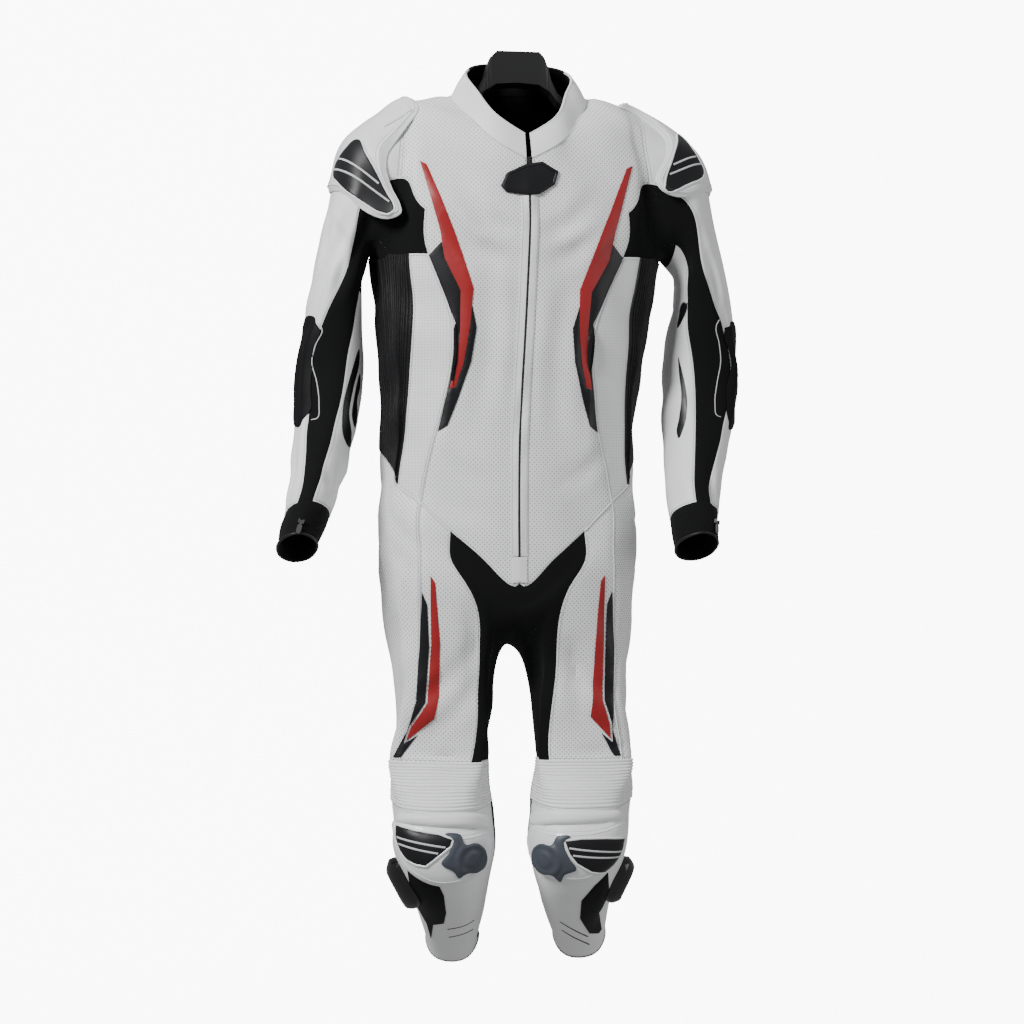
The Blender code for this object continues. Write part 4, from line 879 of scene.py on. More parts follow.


def holes(add, pitch, offsets):
    """A mask that is 1 in the perforations: dots in rows of the flat cloth."""
    flat = add("ShaderNodeUVMap", uv_map="cloth").outputs[0]
    masks = []
    for offset in offsets:
        spot = flat
        for operation, inputs in (
                ("MULTIPLY_ADD", {1: (1 / pitch,) * 3, 2: (offset, offset, 0.0)}),
                ("FRACTION", {}), ("SUBTRACT", {1: (0.5, 0.5, 0.0)}),
                ("MULTIPLY", {1: (1.0, 1.0, 0.0)}), ("LENGTH", {})):
            node = add("ShaderNodeVectorMath", {0: spot, **inputs}, operation=operation)
            spot = node.outputs[0]
        masks.append(node.outputs["Value"])
    near = add("ShaderNodeMath", {0: masks[0], 1: masks[-1]}, operation="MINIMUM")
    radius = HOLE_RADIUS / HOLE_PITCH
    return add("ShaderNodeMapRange", {0: near.outputs[0], 1: radius,
                                      2: radius * HOLE_FLOOR, 3: 0.0, 4: 1.0}).outputs[0]


print("a hole every", HOLE_PITCH * 1000, "mm, or", FINE_PITCH * 1000, "mm on the sides")


# %% [markdown]
# Race leather is thick cowhide with a tough coat: a fine grain, slow clouds of tone and a
# soft shine. One noise texture gives the clouds, and a much finer one the grain. A plain
# colour would look like painted plastic.

# %% Leather
CLOUD_SCALE, GRAIN_SCALE, GRAIN_DEPTH = 11.0, 620.0, 0.0004
CLOUDS = {1: 0.3, 2: 0.7}       # the part of the noise that is used
TONES = {3: 0.93, 4: 1.03}      # darkest and lightest, times the colour
DULLER, SHINIER = 0.08, 0.05    # how far the clouds change the roughness


def leather(name, colour, rough, pitch=0.0, offsets=(0.0, 0.5), shine=0.35):
    """Coated leather: fine grain, a little uneven in colour and shine."""
    finish, shader, add, join = nodes_of(name, colour, rough)
    place = add("ShaderNodeTexCoord").outputs["Object"]
    wide = add("ShaderNodeTexNoise", {"Vector": place, "Scale": CLOUD_SCALE,
                                      "Detail": 4.0}).outputs["Fac"]
    tone = add("ShaderNodeMapRange", {0: wide, **CLOUDS, **TONES})
    shade = add("ShaderNodeVectorMath", {0: colour, 3: tone.outputs[0]},
                operation="SCALE").outputs[0]
    dull = add("ShaderNodeMapRange", {0: wide, **CLOUDS, 3: rough - SHINIER,
                                      4: rough + DULLER})
    height = add("ShaderNodeTexNoise", {"Vector": place, "Scale": GRAIN_SCALE,
                                        "Detail": 3.0}).outputs["Fac"]
    if pitch:
        mask = holes(add, pitch, offsets)
        # painted shade in the holes: the leather's colour darkened where the mask is 1, for
        # the shade inside each hole and the dark lining seen through it
        dark = (*[HOLE_PAINTED_SHADE * c for c in colour], 1.0)
        shade = add("ShaderNodeMix", {0: mask, 6: shade, 7: dark},
                    data_type="RGBA").outputs[2]
        height = add("ShaderNodeMath", {0: height, 1: mask},
                     operation="SUBTRACT").outputs[0]
    bump = add("ShaderNodeBump", {"Strength": 0.12, "Distance": GRAIN_DEPTH,
                                  "Height": height})
    join(shade, shader.inputs["Base Color"])
    join(dull.outputs[0], shader.inputs["Roughness"])
    join(bump.outputs[0], shader.inputs["Normal"])
    shader.inputs["Specular IOR Level"].default_value = shine
    return finish


print("tones of the leather", sorted(TONES.values()), "times its colour")


# %% [markdown]
# Stretch fabric is woven from thick thread, so its black is deeper and duller than that
# of leather. Two wave textures, one across the other, stand for the threads. Moulded
# parts need less: one colour, a faint roughness and, on plastic, a clear coat.

# %% Fabric and moulded parts
THREADS = 0.314         # makes one band of Blender's wave texture one thread wide
THREAD_PITCH, MESH_PITCH, TAPE_PITCH = 0.0022, 0.003, 0.0016    # metres
THREAD_DEPTH, MOULD_DEPTH, MOULD_SCALE = 0.0003, 0.0002, 900.0
SHEEN, SHEEN_ROUGH, FABRIC_SHINE = 0.03, 0.4, 0.2


def weave(name, colour, rough, pitch):
    """Woven stretch fabric: crossing ribs of thread in the flat cloth, with a sheen."""
    finish, shader, add, join = nodes_of(name, colour, rough)
    flat = add("ShaderNodeUVMap", uv_map="cloth").outputs[0]
    lines = [add("ShaderNodeTexWave", {"Vector": flat, "Scale": THREADS / pitch,
                                       "Distortion": 0.6, "Detail": 1.0},
                 bands_direction=way).outputs["Fac"] for way in "XY"]
    both = add("ShaderNodeMath", {0: lines[0], 1: lines[1]}, operation="MULTIPLY")
    bump = add("ShaderNodeBump", {"Strength": 0.25, "Distance": THREAD_DEPTH,
                                  "Height": both.outputs[0]})
    join(bump.outputs[0], shader.inputs["Normal"])
    shader.inputs["Sheen Weight"].default_value = SHEEN
    shader.inputs["Sheen Roughness"].default_value = SHEEN_ROUGH
    shader.inputs["Specular IOR Level"].default_value = FABRIC_SHINE
    return finish


def moulded(name, colour, rough, coat=0.0, metal=0.0, grain=0.05):
    """A moulded or metal part."""
    finish, shader, add, join = nodes_of(name, colour, rough, metal)
    place = add("ShaderNodeTexCoord").outputs["Object"]
    fine = add("ShaderNodeTexNoise", {"Vector": place, "Scale": MOULD_SCALE,
                                      "Detail": 2.0})
    bump = add("ShaderNodeBump", {"Strength": grain, "Distance": MOULD_DEPTH,
                                  "Height": fine.outputs["Fac"]})
    join(bump.outputs[0], shader.inputs["Normal"])
    shader.inputs["Coat Weight"].default_value = coat
    return finish


print("a thread of the stretch fabric is", THREAD_PITCH * 1000, "mm wide")


# %% [markdown]
# All finishes in one place, each with the slot of the part's own materials that it
# belongs to. White leather is never pure white and black never pure black: light still
# has to shape them.

# %% The finishes
WHITE, BLACK, RED = (0.82, 0.83, 0.83), (0.005, 0.005, 0.007), (0.30, 0.014, 0.016)
LOOKS = (               # key, slot, maker, name, colour, roughness, what else it takes
    ("white", "white_leather", leather, "white_leather", WHITE, 0.46, {}),
    ("punched", "white_leather", leather, "white_punched", WHITE, 0.48,
     {"pitch": HOLE_PITCH}),
    ("fine", "white_leather", leather, "white_fine_punched", WHITE, 0.48,
     {"pitch": FINE_PITCH, "offsets": (0.0,)}),
    ("black", "black_leather", leather, "black_leather", BLACK, 0.42, {}),
    ("pad", "black_leather", leather, "black_pad_leather", (0.004, 0.004, 0.005), 0.62,
     {"shine": 0.12}),
    ("red", "red_leather", leather, "red_leather", RED, 0.44, {}),
    ("stretch", "black_stretch", weave, "black_stretch", (0.0028, 0.0030, 0.0032), 0.95,
     {"pitch": THREAD_PITCH}),
    ("ribbed", "black_stretch", weave, "black_ribbed", (0.008, 0.008, 0.009), 0.42,
     {"pitch": THREAD_PITCH}),
    ("lining", "black_stretch", weave, "mesh_lining", (0.006, 0.006, 0.0065), 0.95,
     {"pitch": MESH_PITCH}),
    ("cup", "white_leather", moulded, "moulded_white", (0.80, 0.81, 0.82), 0.36,
     {"coat": 0.25}),
    ("rubber", "grey_rubber", moulded, "grey_rubber", (0.050, 0.058, 0.075), 0.5, {}),
    ("puck", "slider_plastic", moulded, "slider_plastic", (0.003, 0.003, 0.004), 0.16,
     {"coat": 0.25, "grain": 0.02}),
    ("hanger", "hanger_plastic", moulded, "hanger_plastic", (0.006, 0.006, 0.007), 0.5,
     {"grain": 0.2}),
    ("metal", "zip_metal", moulded, "zip_metal", (0.20, 0.20, 0.21), 0.32,
     {"metal": 1.0}),
    ("tape", "zip_tape", weave, "zip_tape", (0.012, 0.012, 0.013), 0.7,
     {"pitch": TAPE_PITCH}),
    ("thread", "white_leather", moulded, "white_thread", (0.55, 0.56, 0.57), 0.8, {}),
    ("dark_thread", "black_leather", moulded, "black_thread", (0.02, 0.02, 0.02), 0.7,
     {}))
FINISHES = {key: maker(name, colour, rough, **more)
            for key, _, maker, name, colour, rough, more in LOOKS}


# %% [markdown]
# Each piece becomes one mesh object. It rides on the body of the suit and stands in
# for the plain CAD node that it dresses. Blender works in metres, so the lengths are
# turned here, once.

# %% A piece as a mesh
MM = 0.001
CREASE_ANGLE = math.radians(48)     # edges sharper than this stay hard


def piece(name, spots, corners, look, nodes=(), inner=None, cloth=None, body="suit"):
    """A mesh in metres from millimetre points, riding on a body.

    inner marks the faces that take the lining (1) or the stretch fabric (2); cloth
    gives each corner's flat place.
    """
    sizes = np.array([len(f) for f in corners])
    flat = np.concatenate([np.asarray(f) for f in corners])
    used, place = np.unique(flat, return_inverse=True)
    ends = np.cumsum(sizes)
    lists = [place[end - size:end].tolist() for end, size in zip(ends, sizes)]
    mesh = bpy.data.meshes.new(name)
    mesh.from_pydata((np.asarray(spots)[used] * MM).tolist(), [], lists)
    mesh.materials.append(FINISHES[look])
    if inner is not None:
        mesh.materials.append(FINISHES["lining"])
        mesh.materials.append(FINISHES["stretch"])
        mesh.polygons.foreach_set("material_index", np.asarray(inner, int))
    layer = mesh.uv_layers.new(name="cloth")
    if cloth is not None:
        layer.data.foreach_set("uv", np.concatenate(cloth).ravel() * MM)
    mesh.shade_smooth()
    mesh.set_sharp_from_angle(angle=CREASE_ANGLE)
    made = bpy.data.objects.new(name + ("_dressed" if nodes else ""), mesh)
    bpy.context.collection.objects.link(made)
    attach(made, body)
    if nodes:
        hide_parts(*nodes)
    return made


# %% [markdown]
# Each piece of cloth is listed with the flat blank it is cut from. The blank is the
# size of the drawn cut, grown where the piece has more area than that and shrunk where
# it has far less.

# %% The cut size of a piece
BLANK_SPARE = 1.02      # a blank is at least this much larger than its piece,
BLANK_FULL = 0.32       # and the piece fills at least this share of it
CUTS = []


def cut_size(made, across, down):
    """Half the skin of a closed wall is its cut area; the blank is what it needs."""
    area = sum(p.area for p in made.data.polygons) / 2
    width, length = across * MM, down * MM
    grow = max(1.0, math.sqrt(BLANK_SPARE * area / (width * length)))
    shrink = min(1.0, math.sqrt(area / (BLANK_FULL * width * length)))
    return area, width * grow * shrink, length * grow * shrink


def sheet(made, across, down, held="hung", rests=("hanger",)):
    """Work out a piece of cloth's cut size and list it in CUTS."""
    area, width, length = cut_size(made, across, down)
    CUTS.append((made.name, round(width * 1000), round(length * 1000), round(area, 4)))


print("a blank has up to", round(1 / BLANK_FULL, 1), "times the area of its piece")


# %% [markdown]
# Each cut panel is a closed wall, as thick as its leather or fabric. A Solidify modifier
# would give it thickness, but not this: the seam edges are turned down, so neighbours
# meet in a soft groove as sewn leather does. The inside shows the mesh lining.

# %% What the cut panels are made of
LEATHER, STRETCH, CUFF_WALL = 2.0, 1.8, 2.8
SEAM_CLOSE = 0.01       # sewn edges meet
SEAM_DROP = 0.7         # how deep the turned edge sits at a seam
RIBBED = ("side_rib", "knee_band")      # these are made in the next step
PANEL_LOOKS = {"front_panel": "punched", "leg_front": "punched", "side_strip": "fine",
               "sleeve_outer": "white", "sleeve_inner": "white", "leg_side": "punched",
               "knee_shin": "white", "back_panel": "punched"}     # the rest is stretch
STRAIGHT = ("front_panel", "leg_front", "side_strip", "back_panel")  # grain hangs plumb
GUSSET_ROW = {"sleeve_inner_r": -3.0, "sleeve_inner_l": -1.0}   # stretch above this row
CUT_SIZES = {           # mm, where the drawing of the cut is wider than the cut itself
    "yoke_back": (360, 150), "inner_stretch": (480, 313), "cuff": (280, 44)}
LEAST_SPREAD = 12.0     # no blank is smaller than this


def stem_of(tag):
    """A panel's name without its side."""
    return tag if tag in ONE_PIECE else tag.rsplit("_", 1)[0]


def spread(flat):
    """Width and length of a piece's flat places."""
    return [max(size, LEAST_SPREAD) for size in np.ptp(flat.reshape(-1, 2), axis=0)]


def draw_in(spots, facing, rim, distance):
    """Move a patch's border in along the surface."""
    inward = {}
    for a, b in rim:
        along = spots[b] - spots[a]
        for k in (a, b):
            side = np.cross(facing[k], along)
            inward.setdefault(k, []).append(side / np.linalg.norm(side))
    moved = spots.copy()
    for k, sides in inward.items():
        total = sum(sides[:2])
        moved[k] += distance * total / max(1.0 + sides[0] @ sides[-1], 0.5)
    return moved


print("cut panels", sorted({stem_of(tag) for tag in panel_faces}))


# %% [markdown]
# Now each panel becomes a piece of its own. On the real suit the grain and the rows of
# holes follow the way a panel was laid on the hide, so where it hangs straight its flat
# places are plumb, and on the leg's side they run round the leg.

# %% The cut panels
def flat_cloth(tag):
    """Each corner's flat place in the cloth; where the grain hangs, it is plumb."""
    stem, corner_spots = stem_of(tag), points[faces[panel_faces[tag]]]
    if stem in STRAIGHT:
        return corner_spots[:, :, [0, 2]]
    if stem == "leg_side":
        round_leg = np.arctan2(np.abs(corner_spots[:, :, 0]) - LEG_AXIS[0],
                               LEG_AXIS[1] - corner_spots[:, :, 1])
        return np.stack([round_leg * LEG_REACH, corner_spots[:, :, 2]], 2)
    return layers["cloth"][panel_faces[tag]]


def cut_panel(tag):
    """A cut panel as a closed wall with its seam edges turned down."""
    stem, block = stem_of(tag), faces[panel_faces[tag]]
    rim, look, count = rim_of(block), PANEL_LOOKS.get(stem, "stretch"), len(points)
    wall = CUFF_WALL if stem == "cuff" else (STRETCH if look == "stretch" else LEATHER)
    outer = draw_in(points, normals, rim, SEAM_CLOSE)
    edge = np.zeros(count)
    edge[[k for pair in rim for k in pair]] = SEAM_DROP
    both = np.vstack([outer - normals * edge[:, None], outer - normals * wall])
    corners = list(block) + [f[::-1] + count for f in block]
    corners += [np.array((b, a, a + count, b + count)) for a, b in rim]
    cloth = list(flat_cloth(tag))
    cloth += [c[::-1] for c in cloth] + [np.zeros((4, 2))] * len(rim)
    gusset = GUSSET_ROW.get(tag, math.inf)
    skin = [2 if cell[:, 1].mean() > gusset else 0
            for cell in layers["grid"][panel_faces[tag]]]
    inner = skin + [1] * len(block) + [0] * len(rim)
    made = piece(tag, both, corners, look, (tag,), inner, cloth)
    sheet(made, *CUT_SIZES.get(stem, spread(flat_cloth(tag))))
    return made


panels = {tag: cut_panel(tag) for tag in sorted(panel_faces)
          if stem_of(tag) not in RIBBED}
print("panels", len(panels))


# %% [markdown]
# The ribbed sides and knee bands let the rider bend. They are sewn in pleats, which a
# bump map could fake, but pleats this large show in the outline. So each is a rounded
# rib with a tight groove beside it, and chance makes no two quite alike.

# %% Ribs as closed blocks
def resample(line_points, line_normals, count):
    """Points and normals along a broken line, evenly between its corners."""
    corners = np.arange(len(line_points))
    at = np.linspace(0, len(line_points) - 1, count)
    place = np.stack([np.interp(at, corners, line_points[:, c]) for c in range(3)], 1)
    facing = np.stack([np.interp(at, corners, line_normals[:, c]) for c in range(3)], 1)
    return place, facing / np.linalg.norm(facing, axis=1)[:, None]


def grid_block(rows, columns):
    """Quads of a regular block of points."""
    return [np.array((r * columns + c, r * columns + c + 1,
                      (r + 1) * columns + c + 1, (r + 1) * columns + c))
            for r in range(rows - 1) for c in range(columns - 1)]


def closed_block(outer, inner_side):
    """Two matching grids of points as one closed wall."""
    rows, columns = outer.shape[:2]
    count = rows * columns
    spots = np.vstack([outer.reshape(-1, 3), inner_side.reshape(-1, 3)])
    top = grid_block(rows, columns)
    middle = top[len(top) // 2]
    a, b, c = (spots[k] for k in middle[:3])
    if np.cross(b - a, c - a) @ (a - spots[middle[0] + count]) < 0:
        top = [f[::-1] for f in top]
    under = [f[::-1] + count for f in top]
    sides = [np.array((b, a, a + count, b + count)) for a, b in rim_of(top)]
    marks = [0] * len(top) + [1] * len(under) + [0] * len(sides)
    return spots, top + under + sides, marks


print("a block of 3 by 3 points has", len(grid_block(3, 3)), "faces")


# %% [markdown]
# A rib's section is the upper half of a sine wave, made rounder by a power below 1. The
# outer grid of points gets the ribs, and the inner grid stays plain.

# %% Ribbed panels
RIB_POINTS = 8          # points across one rib
RIB_ROUND = 0.6         # less than 1 makes round ribs with tight grooves
RIB_SHIFT = 0.07        # how far a groove may lie off its even place, in ribs
RIB_LOW, RIB_HIGH = 0.9, 1.08       # how much ribs differ in height
SWAY, SWAY_DOWN, SWAY_ACROSS = 0.12, 0.7, 2.1       # and how they change along the panel
RIBS = {                # ribs, height, wall, whether they run across, look
    "side_rib": (26, 1.7, STRETCH, True, "ribbed"),
    "knee_band": (15, 2.1, LEATHER, False, "white")}
SEED = 7
chance = np.random.default_rng(SEED)


def ribbed_panel(tag):
    """A panel whose outside is ribbed over a plain inside."""
    ribs, height, wall, across, look = RIBS[stem_of(tag)]
    numbers = panel_faces[tag]
    cells = {}
    for face, cell in zip(faces[numbers], layers["grid"][numbers]):
        for vertex, spot in zip(face, cell):
            cells[tuple(np.round(spot, 3))] = vertex
    us, vs = (sorted({cell[i] for cell in cells}) for i in (0, 1))
    lines, fixed = (vs, us) if across else (us, vs)
    drawn = draw_in(points, normals, rim_of(faces[numbers]), SEAM_CLOSE)
    count = ribs * RIB_POINTS + 1
    bends = np.linspace(0, 1, ribs + 1)
    bends[1:-1] += chance.uniform(-RIB_SHIFT, RIB_SHIFT, ribs - 1) / ribs
    phase = np.interp(np.linspace(0, 1, count), bends, np.arange(ribs + 1))
    sizes = chance.uniform(RIB_LOW, RIB_HIGH, ribs + 1)
    lift = height * np.abs(np.sin(phase * math.pi)) ** RIB_ROUND * sizes[phase.astype(int)]
    outer, inner_side = [], []
    for number, line in enumerate(lines):
        row = [cells[(f, line) if across else (line, f)] for f in fixed]
        place, facing = resample(drawn[row], normals[row], count)
        sway = 1.0 + SWAY * math.sin(number * SWAY_DOWN) * np.sin(phase * SWAY_ACROSS)
        outer.append(place + facing * (lift * sway)[:, None])
        inner_side.append(place - facing * wall)
    spots, corners, marks = closed_block(np.array(outer), np.array(inner_side))
    made = piece(tag, spots, corners, look, (tag,), marks)
    sheet(made, *spread(layers["cloth"][numbers]))
    return made


for tag in sorted(t for t in panel_faces if stem_of(t) in RIBS):
    panels[tag] = ribbed_panel(tag)
print("ribbed", [n for n in panels if stem_of(n) in RIBS])


# %% [markdown]
# Inlays, cups, pads and sliders lie on the panels. Each is cut from the surface under it
# by an outline, as a maker cuts a patch to fit. A Boolean could cut it too, but leaves
# ragged faces. First the outlines: rounded, evenly spaced, or drawn in from the edge.

# %% Outlines
SHARPEST = 0.35         # keeps a drawn-in corner from running far ahead


def closed(line):
    """Pairs of neighbours round a closed line."""
    return list(zip(line, line[1:] + line[:1]))


def rounded(outline, parts=5, keep=()):
    """A smooth closed line through an outline's points, with corners where kept."""
    spots = [np.array(p, float) for p in outline]
    count = len(spots)
    tangents = []
    for k in range(count):
        before, after = spots[k] - spots[k - 1], spots[(k + 1) % count] - spots[k]
        far, near = np.linalg.norm(before), np.linalg.norm(after)
        tangents.append((before / far * near + after / near * far) / (far + near))
    result = []
    for k, (a, b) in enumerate(closed(spots)):
        after, span = (k + 1) % count, np.linalg.norm(b - a)
        start = (b - a) / span if k in keep else tangents[k]
        finish = (b - a) / span if after in keep else tangents[after]
        for s in np.arange(parts) / parts:
            result.append((2 * s**3 - 3 * s**2 + 1) * a + (s**3 - 2 * s**2 + s) * span
                          * start + (3 * s**2 - 2 * s**3) * b + (s**3 - s**2) * span
                          * finish)
    return result


def even(line, step, loop=True):
    """A line with points at an even spacing; an open one keeps its last point."""
    result = []
    for a, b in closed(line) if loop else zip(line, line[1:]):
        parts = max(int(np.linalg.norm(b - a) / step), 1)
        result += [a + (b - a) * k / parts for k in range(parts)]
    return result if loop else result + line[-1:]


def border_distances(spots, outline):
    """Distance of many spots from an outline, and which of them are inside it."""
    best, inside = np.full(len(spots), math.inf), np.zeros(len(spots), bool)
    for a, b in closed(outline):
        along = b - a
        share = np.clip((spots - a) @ along / max(along @ along, 1e-9), 0, 1)
        away = np.linalg.norm(spots - a - share[:, None] * along, axis=1)
        best = np.minimum(best, away)
        if b[1] != a[1]:
            line_x = (b[0] - a[0]) * (spots[:, 1] - a[1]) / (b[1] - a[1]) + a[0]
            inside ^= ((a[1] > spots[:, 1]) != (b[1] > spots[:, 1])) \
                & (spots[:, 0] < line_x)
    return best, inside


def inset_outline(outline, distance):
    """An outline drawn in by a small distance, run against the clock."""
    spots = [np.array(p, float) for p in outline]
    if sum(a[0] * b[1] - b[0] * a[1] for a, b in closed(spots)) < 0:
        spots = spots[::-1]
    sides = []
    for a, b in closed(spots):
        along = (b - a) / np.linalg.norm(b - a)
        sides.append(np.array((-along[1], along[0])))
    return [spot + distance * (before + after) / max(1.0 + before @ after, SHARPEST)
            for spot, before, after in zip(spots, sides[-1:] + sides, sides)]


square = [(0, 0), (10, 0), (10, 10), (0, 10)]
print("a 10 mm square drawn in by 1 mm starts at", inset_outline(square, 1.0)[0])


# %% [markdown]
# A hard cup or a padded flap doesn't sink into a fold below it: it bridges the hollow.
# Its points are pulled out towards the mean of their neighbours, never in, until the
# patch is straight across. Its border only evens out along itself.

# %% Stiff patches
PULL = 0.7              # share of the way to its neighbours in one pass


def spread_out(places, ways, kept, passes):
    """Pull a stiff patch straight across hollows, its border along itself only."""
    pairs = np.array([(a, b) for t in kept for a, b in zip(t, t[1:] + t[:1])])
    edge = np.array(rim_of(kept))
    on_rim = np.zeros(len(places), bool)
    on_rim[edge.ravel()] = True
    sources = np.vstack([pairs, pairs[:, ::-1]])
    sources = sources[~on_rim[sources[:, 0]]]
    sources = np.vstack([sources, edge, edge[:, ::-1]])
    share = np.maximum(np.bincount(sources[:, 0], minlength=len(places)), 1)
    for _ in range(passes):
        mean = np.stack([np.bincount(sources[:, 0], places[sources[:, 1], c],
                                     minlength=len(places)) / share for c in range(3)], 1)
        short = np.einsum("ij,ij->i", mean - places, ways)
        places = places + ways * (PULL * np.maximum(short, 0.0))[:, None]
    return places


def patch_normals(places, kept, ways):
    """Smooth normals of a patch, facing its viewer."""
    kept = np.array(kept)
    a, b, c = (places[kept[:, k]] for k in range(3))
    turn = np.cross(b - a, c - a)
    turn *= np.sign(np.einsum("ij,ij->i", turn, ways[kept[:, 0]]))[:, None]
    facing = np.zeros_like(places)
    for k in range(3):
        np.add.at(facing, kept[:, k], turn)
    facing += 1e-9 * ways
    return facing / np.linalg.norm(facing, axis=1)[:, None]


print("a patch is pulled by", PULL, "of the way in each pass")


# %% [markdown]
# A patch starts as a flat mesh inside its outline. Blender can fill an outline with one
# big face, but that can't follow a curved body. A Delaunay triangulation fills it with
# points set like bricks and even triangles between them.

# %% Filling an outline
BORDER_STEP = 0.8       # spacing of a border's points, as a share of the grain,
BORDER_CLEAR = 0.45     # and how far the points inside keep from it


def fill_outline(border, grain):
    """Flat points and triangles that fill an outline evenly."""
    low, high = np.min(border, axis=0), np.max(border, axis=0)
    us = np.arange(low[0] + grain / 2, high[0], grain)
    vs = np.arange(low[1] + grain / 2, high[1], grain)
    grid = np.array([(u + (grain / 2 if row % 2 else 0), v)
                     for row, v in enumerate(vs) for u in us])
    away, within = border_distances(grid, border)
    grid = grid[within & (away > grain * BORDER_CLEAR)]
    spots = [Vector(s) for s in border] + [Vector(s) for s in grid]
    edges = [(k, (k + 1) % len(border)) for k in range(len(border))]
    cut = delaunay_2d_cdt(spots, edges, [list(range(len(border)))], 0, 1e-4)
    kept = [tuple(t) for t, origin in zip(cut[2], cut[5]) if origin]
    used = sorted({k for t in kept for k in t})
    renumber = {k: n for n, k in enumerate(used)}
    return np.array([cut[0][k] for k in used]), [tuple(renumber[k] for k in t)
                                                 for t in kept]


print("triangles in a 10 mm square", len(fill_outline(
    even([np.array(spot, float) for spot in square], 2.0), 2.0)[1]))


# %% [markdown]
# The patch is then laid on the surface below and moved out. Near its border it rounds off
# over a soft edge, and in the middle its padding crowns it. Each kind of piece has its
# own row of sizes, so that all cups, pads and inlays come from one function.

# %% Laid pieces
SEAM_GAP = 0.3          # between two pieces sewn together, and under what lies on a panel
MAKES = {               # thickness, crown, width of the soft edge, grain of its points
    "flash": (0.9, 0.5, 1.6, 3.5), "shoulder_cup": (1.6, 4.0, 9.0, 2.2),
    "shoulder_inset": (0.7, 0.5, 3.0, 1.1), "shoulder_bar": (1.2, 1.2, 2.0, 0.9),
    "knee_cup": (1.6, 5.0, 14.0, 3.0), "knee_inset": (0.7, 0.5, 3.0, 2.8),
    "knee_roll": (1.4, 4.5, 4.0, 2.6), "knee_rubber": (2.0, 1.4, 3.0, 1.5),
    "knee_slider": (9.0, 11.0, 34.0, 5.0), "slider_base": (0.9, 0.3, 2.0, 3.4),
    "elbow_pad": (1.2, 2.2, 12.0, 4.0), "arm_stripe": (0.6, 0.2, 2.0, 2.6),
    "throat_flap": (2.4, 1.4, 5.0, 3.0), "placket": (1.0, 0.5, 1.6, 3.4),
    "zip_end": (1.4, 0.6, 2.0, 2.5)}


def laid(name, make, host, view, outline, look, scale=1.0, bridge=0, packed=True,
         relief=None):
    """A piece cut from the points under it, and its skin as a surface.

    scale suits the soft edge and grain to a view's drawing; bridge is the number of
    passes that straighten a stiff piece; packed says that the CAD model has this piece;
    relief(spot, inset) may add height.
    """
    thickness, crown, soft_edge, grain = MAKES[make]
    soft_edge, grain = soft_edge * scale, grain * scale
    border = even(inset_outline(outline, SEAM_GAP / 2), grain * BORDER_STEP)
    flat, kept = fill_outline(border, grain)
    rays = [view.ray(s) for s in flat]
    places = np.array([host.hit(*r)[0] for r in rays])
    ways = np.array([-r[1] for r in rays])
    if bridge:
        places = spread_out(places, ways, kept, bridge)
    facing = patch_normals(places, kept, ways)
    inset = border_distances(flat, border)[0]
    height = thickness + crown * np.sin(np.minimum(inset / soft_edge, 1.0) * math.pi / 2)
    if relief is not None:
        height = height + relief(flat, inset)
    a, b, c = (places[[t[k] for t in kept]] for k in range(3))
    if np.sum(np.cross(b - a, c - a) * facing[[t[0] for t in kept]]) < 0:
        kept = [t[::-1] for t in kept]
    bottom = places + facing * SEAM_GAP
    top = bottom + facing * height[:, None]
    count = len(places)
    corners = list(kept) + [tuple(k + count for k in reversed(t)) for t in kept]
    corners += [(b, a, a + count, b + count) for a, b in rim_of(kept)]
    where = np.vstack([flat, flat])
    made = piece(name, np.vstack([top, bottom]), corners, look,
                 (name,) if packed else (), cloth=[where[list(f)] for f in corners])
    return made, Surface(top, patch_normals(top, kept, ways), kept)


print("ways to make a laid piece", len(MAKES))


# %% [markdown]
# Welts, piping and edges are cords sewn down along a line. A Curve object with a bevel
# makes a round one quickly, but here the cord has to lie on the leather and be flatter
# than it is wide, so its rings are set square to the path and to the surface.

# %% Cords along a line
CORD_SIDES = 8
LINE_STEP = 2.0         # between the rings of a thin cord


def line_on(host, view, line, lift=0.0, step=2.5, loop=False):
    """Points and normals of a drawn line on a surface."""
    spots = even([np.array(p, float) for p in line], step, loop)
    result = [host.hit(*view.ray(spot)) for spot in spots]
    return np.array([p + n * lift for p, n in result]), np.array([n for _, n in result])


def cord_mesh(path, facing, half_wide, half_high, loop=False):
    """A tube along a path: points and faces, flatter across than up if wanted."""
    count, sides = len(path), CORD_SIDES
    ahead = np.roll(path, -1, 0) - np.roll(path, 1, 0)
    if not loop:
        ahead[0], ahead[-1] = path[1] - path[0], path[-1] - path[-2]
    ahead /= np.maximum(np.linalg.norm(ahead, axis=1), 1e-9)[:, None]
    across = np.cross(ahead, facing)
    across /= np.maximum(np.linalg.norm(across, axis=1), 1e-9)[:, None]
    up = np.cross(across, ahead)
    turns = (np.arange(sides) * math.tau / sides)[None, :, None]
    spots = (path[:, None] + across[:, None] * half_wide * np.cos(turns)
             + up[:, None] * half_high * np.sin(turns)).reshape(-1, 3)
    corners = []
    for r in range(count if loop else count - 1):
        low, high = r * sides, (r + 1) % count * sides
        for k in range(sides):
            after = (k + 1) % sides
            corners.append((low + k, high + k, high + after, low + after))
    if not loop:
        corners.append(tuple(range(sides)))
        corners.append(tuple(range((count - 1) * sides, count * sides))[::-1])
    return spots, corners


def cords(name, parts, look):
    """Several cords or blocks, each as points and faces, as one object."""
    corners, base = [], 0
    for more, block in parts:
        corners += [tuple(int(k) + base for k in f) for f in block]
        base += len(more)
    return piece(name, np.vstack([more for more, _ in parts]), corners, look)


print("a cord has", CORD_SIDES, "sides")


# %% [markdown]
# The coloured flashes on chest and thighs are thin leather inlays. They are drawn from
# the front once, for the left half, then mirrored and leaned as the suit hangs. They
# could be painted on the panels with a mask, but real ones have an edge and a thickness.

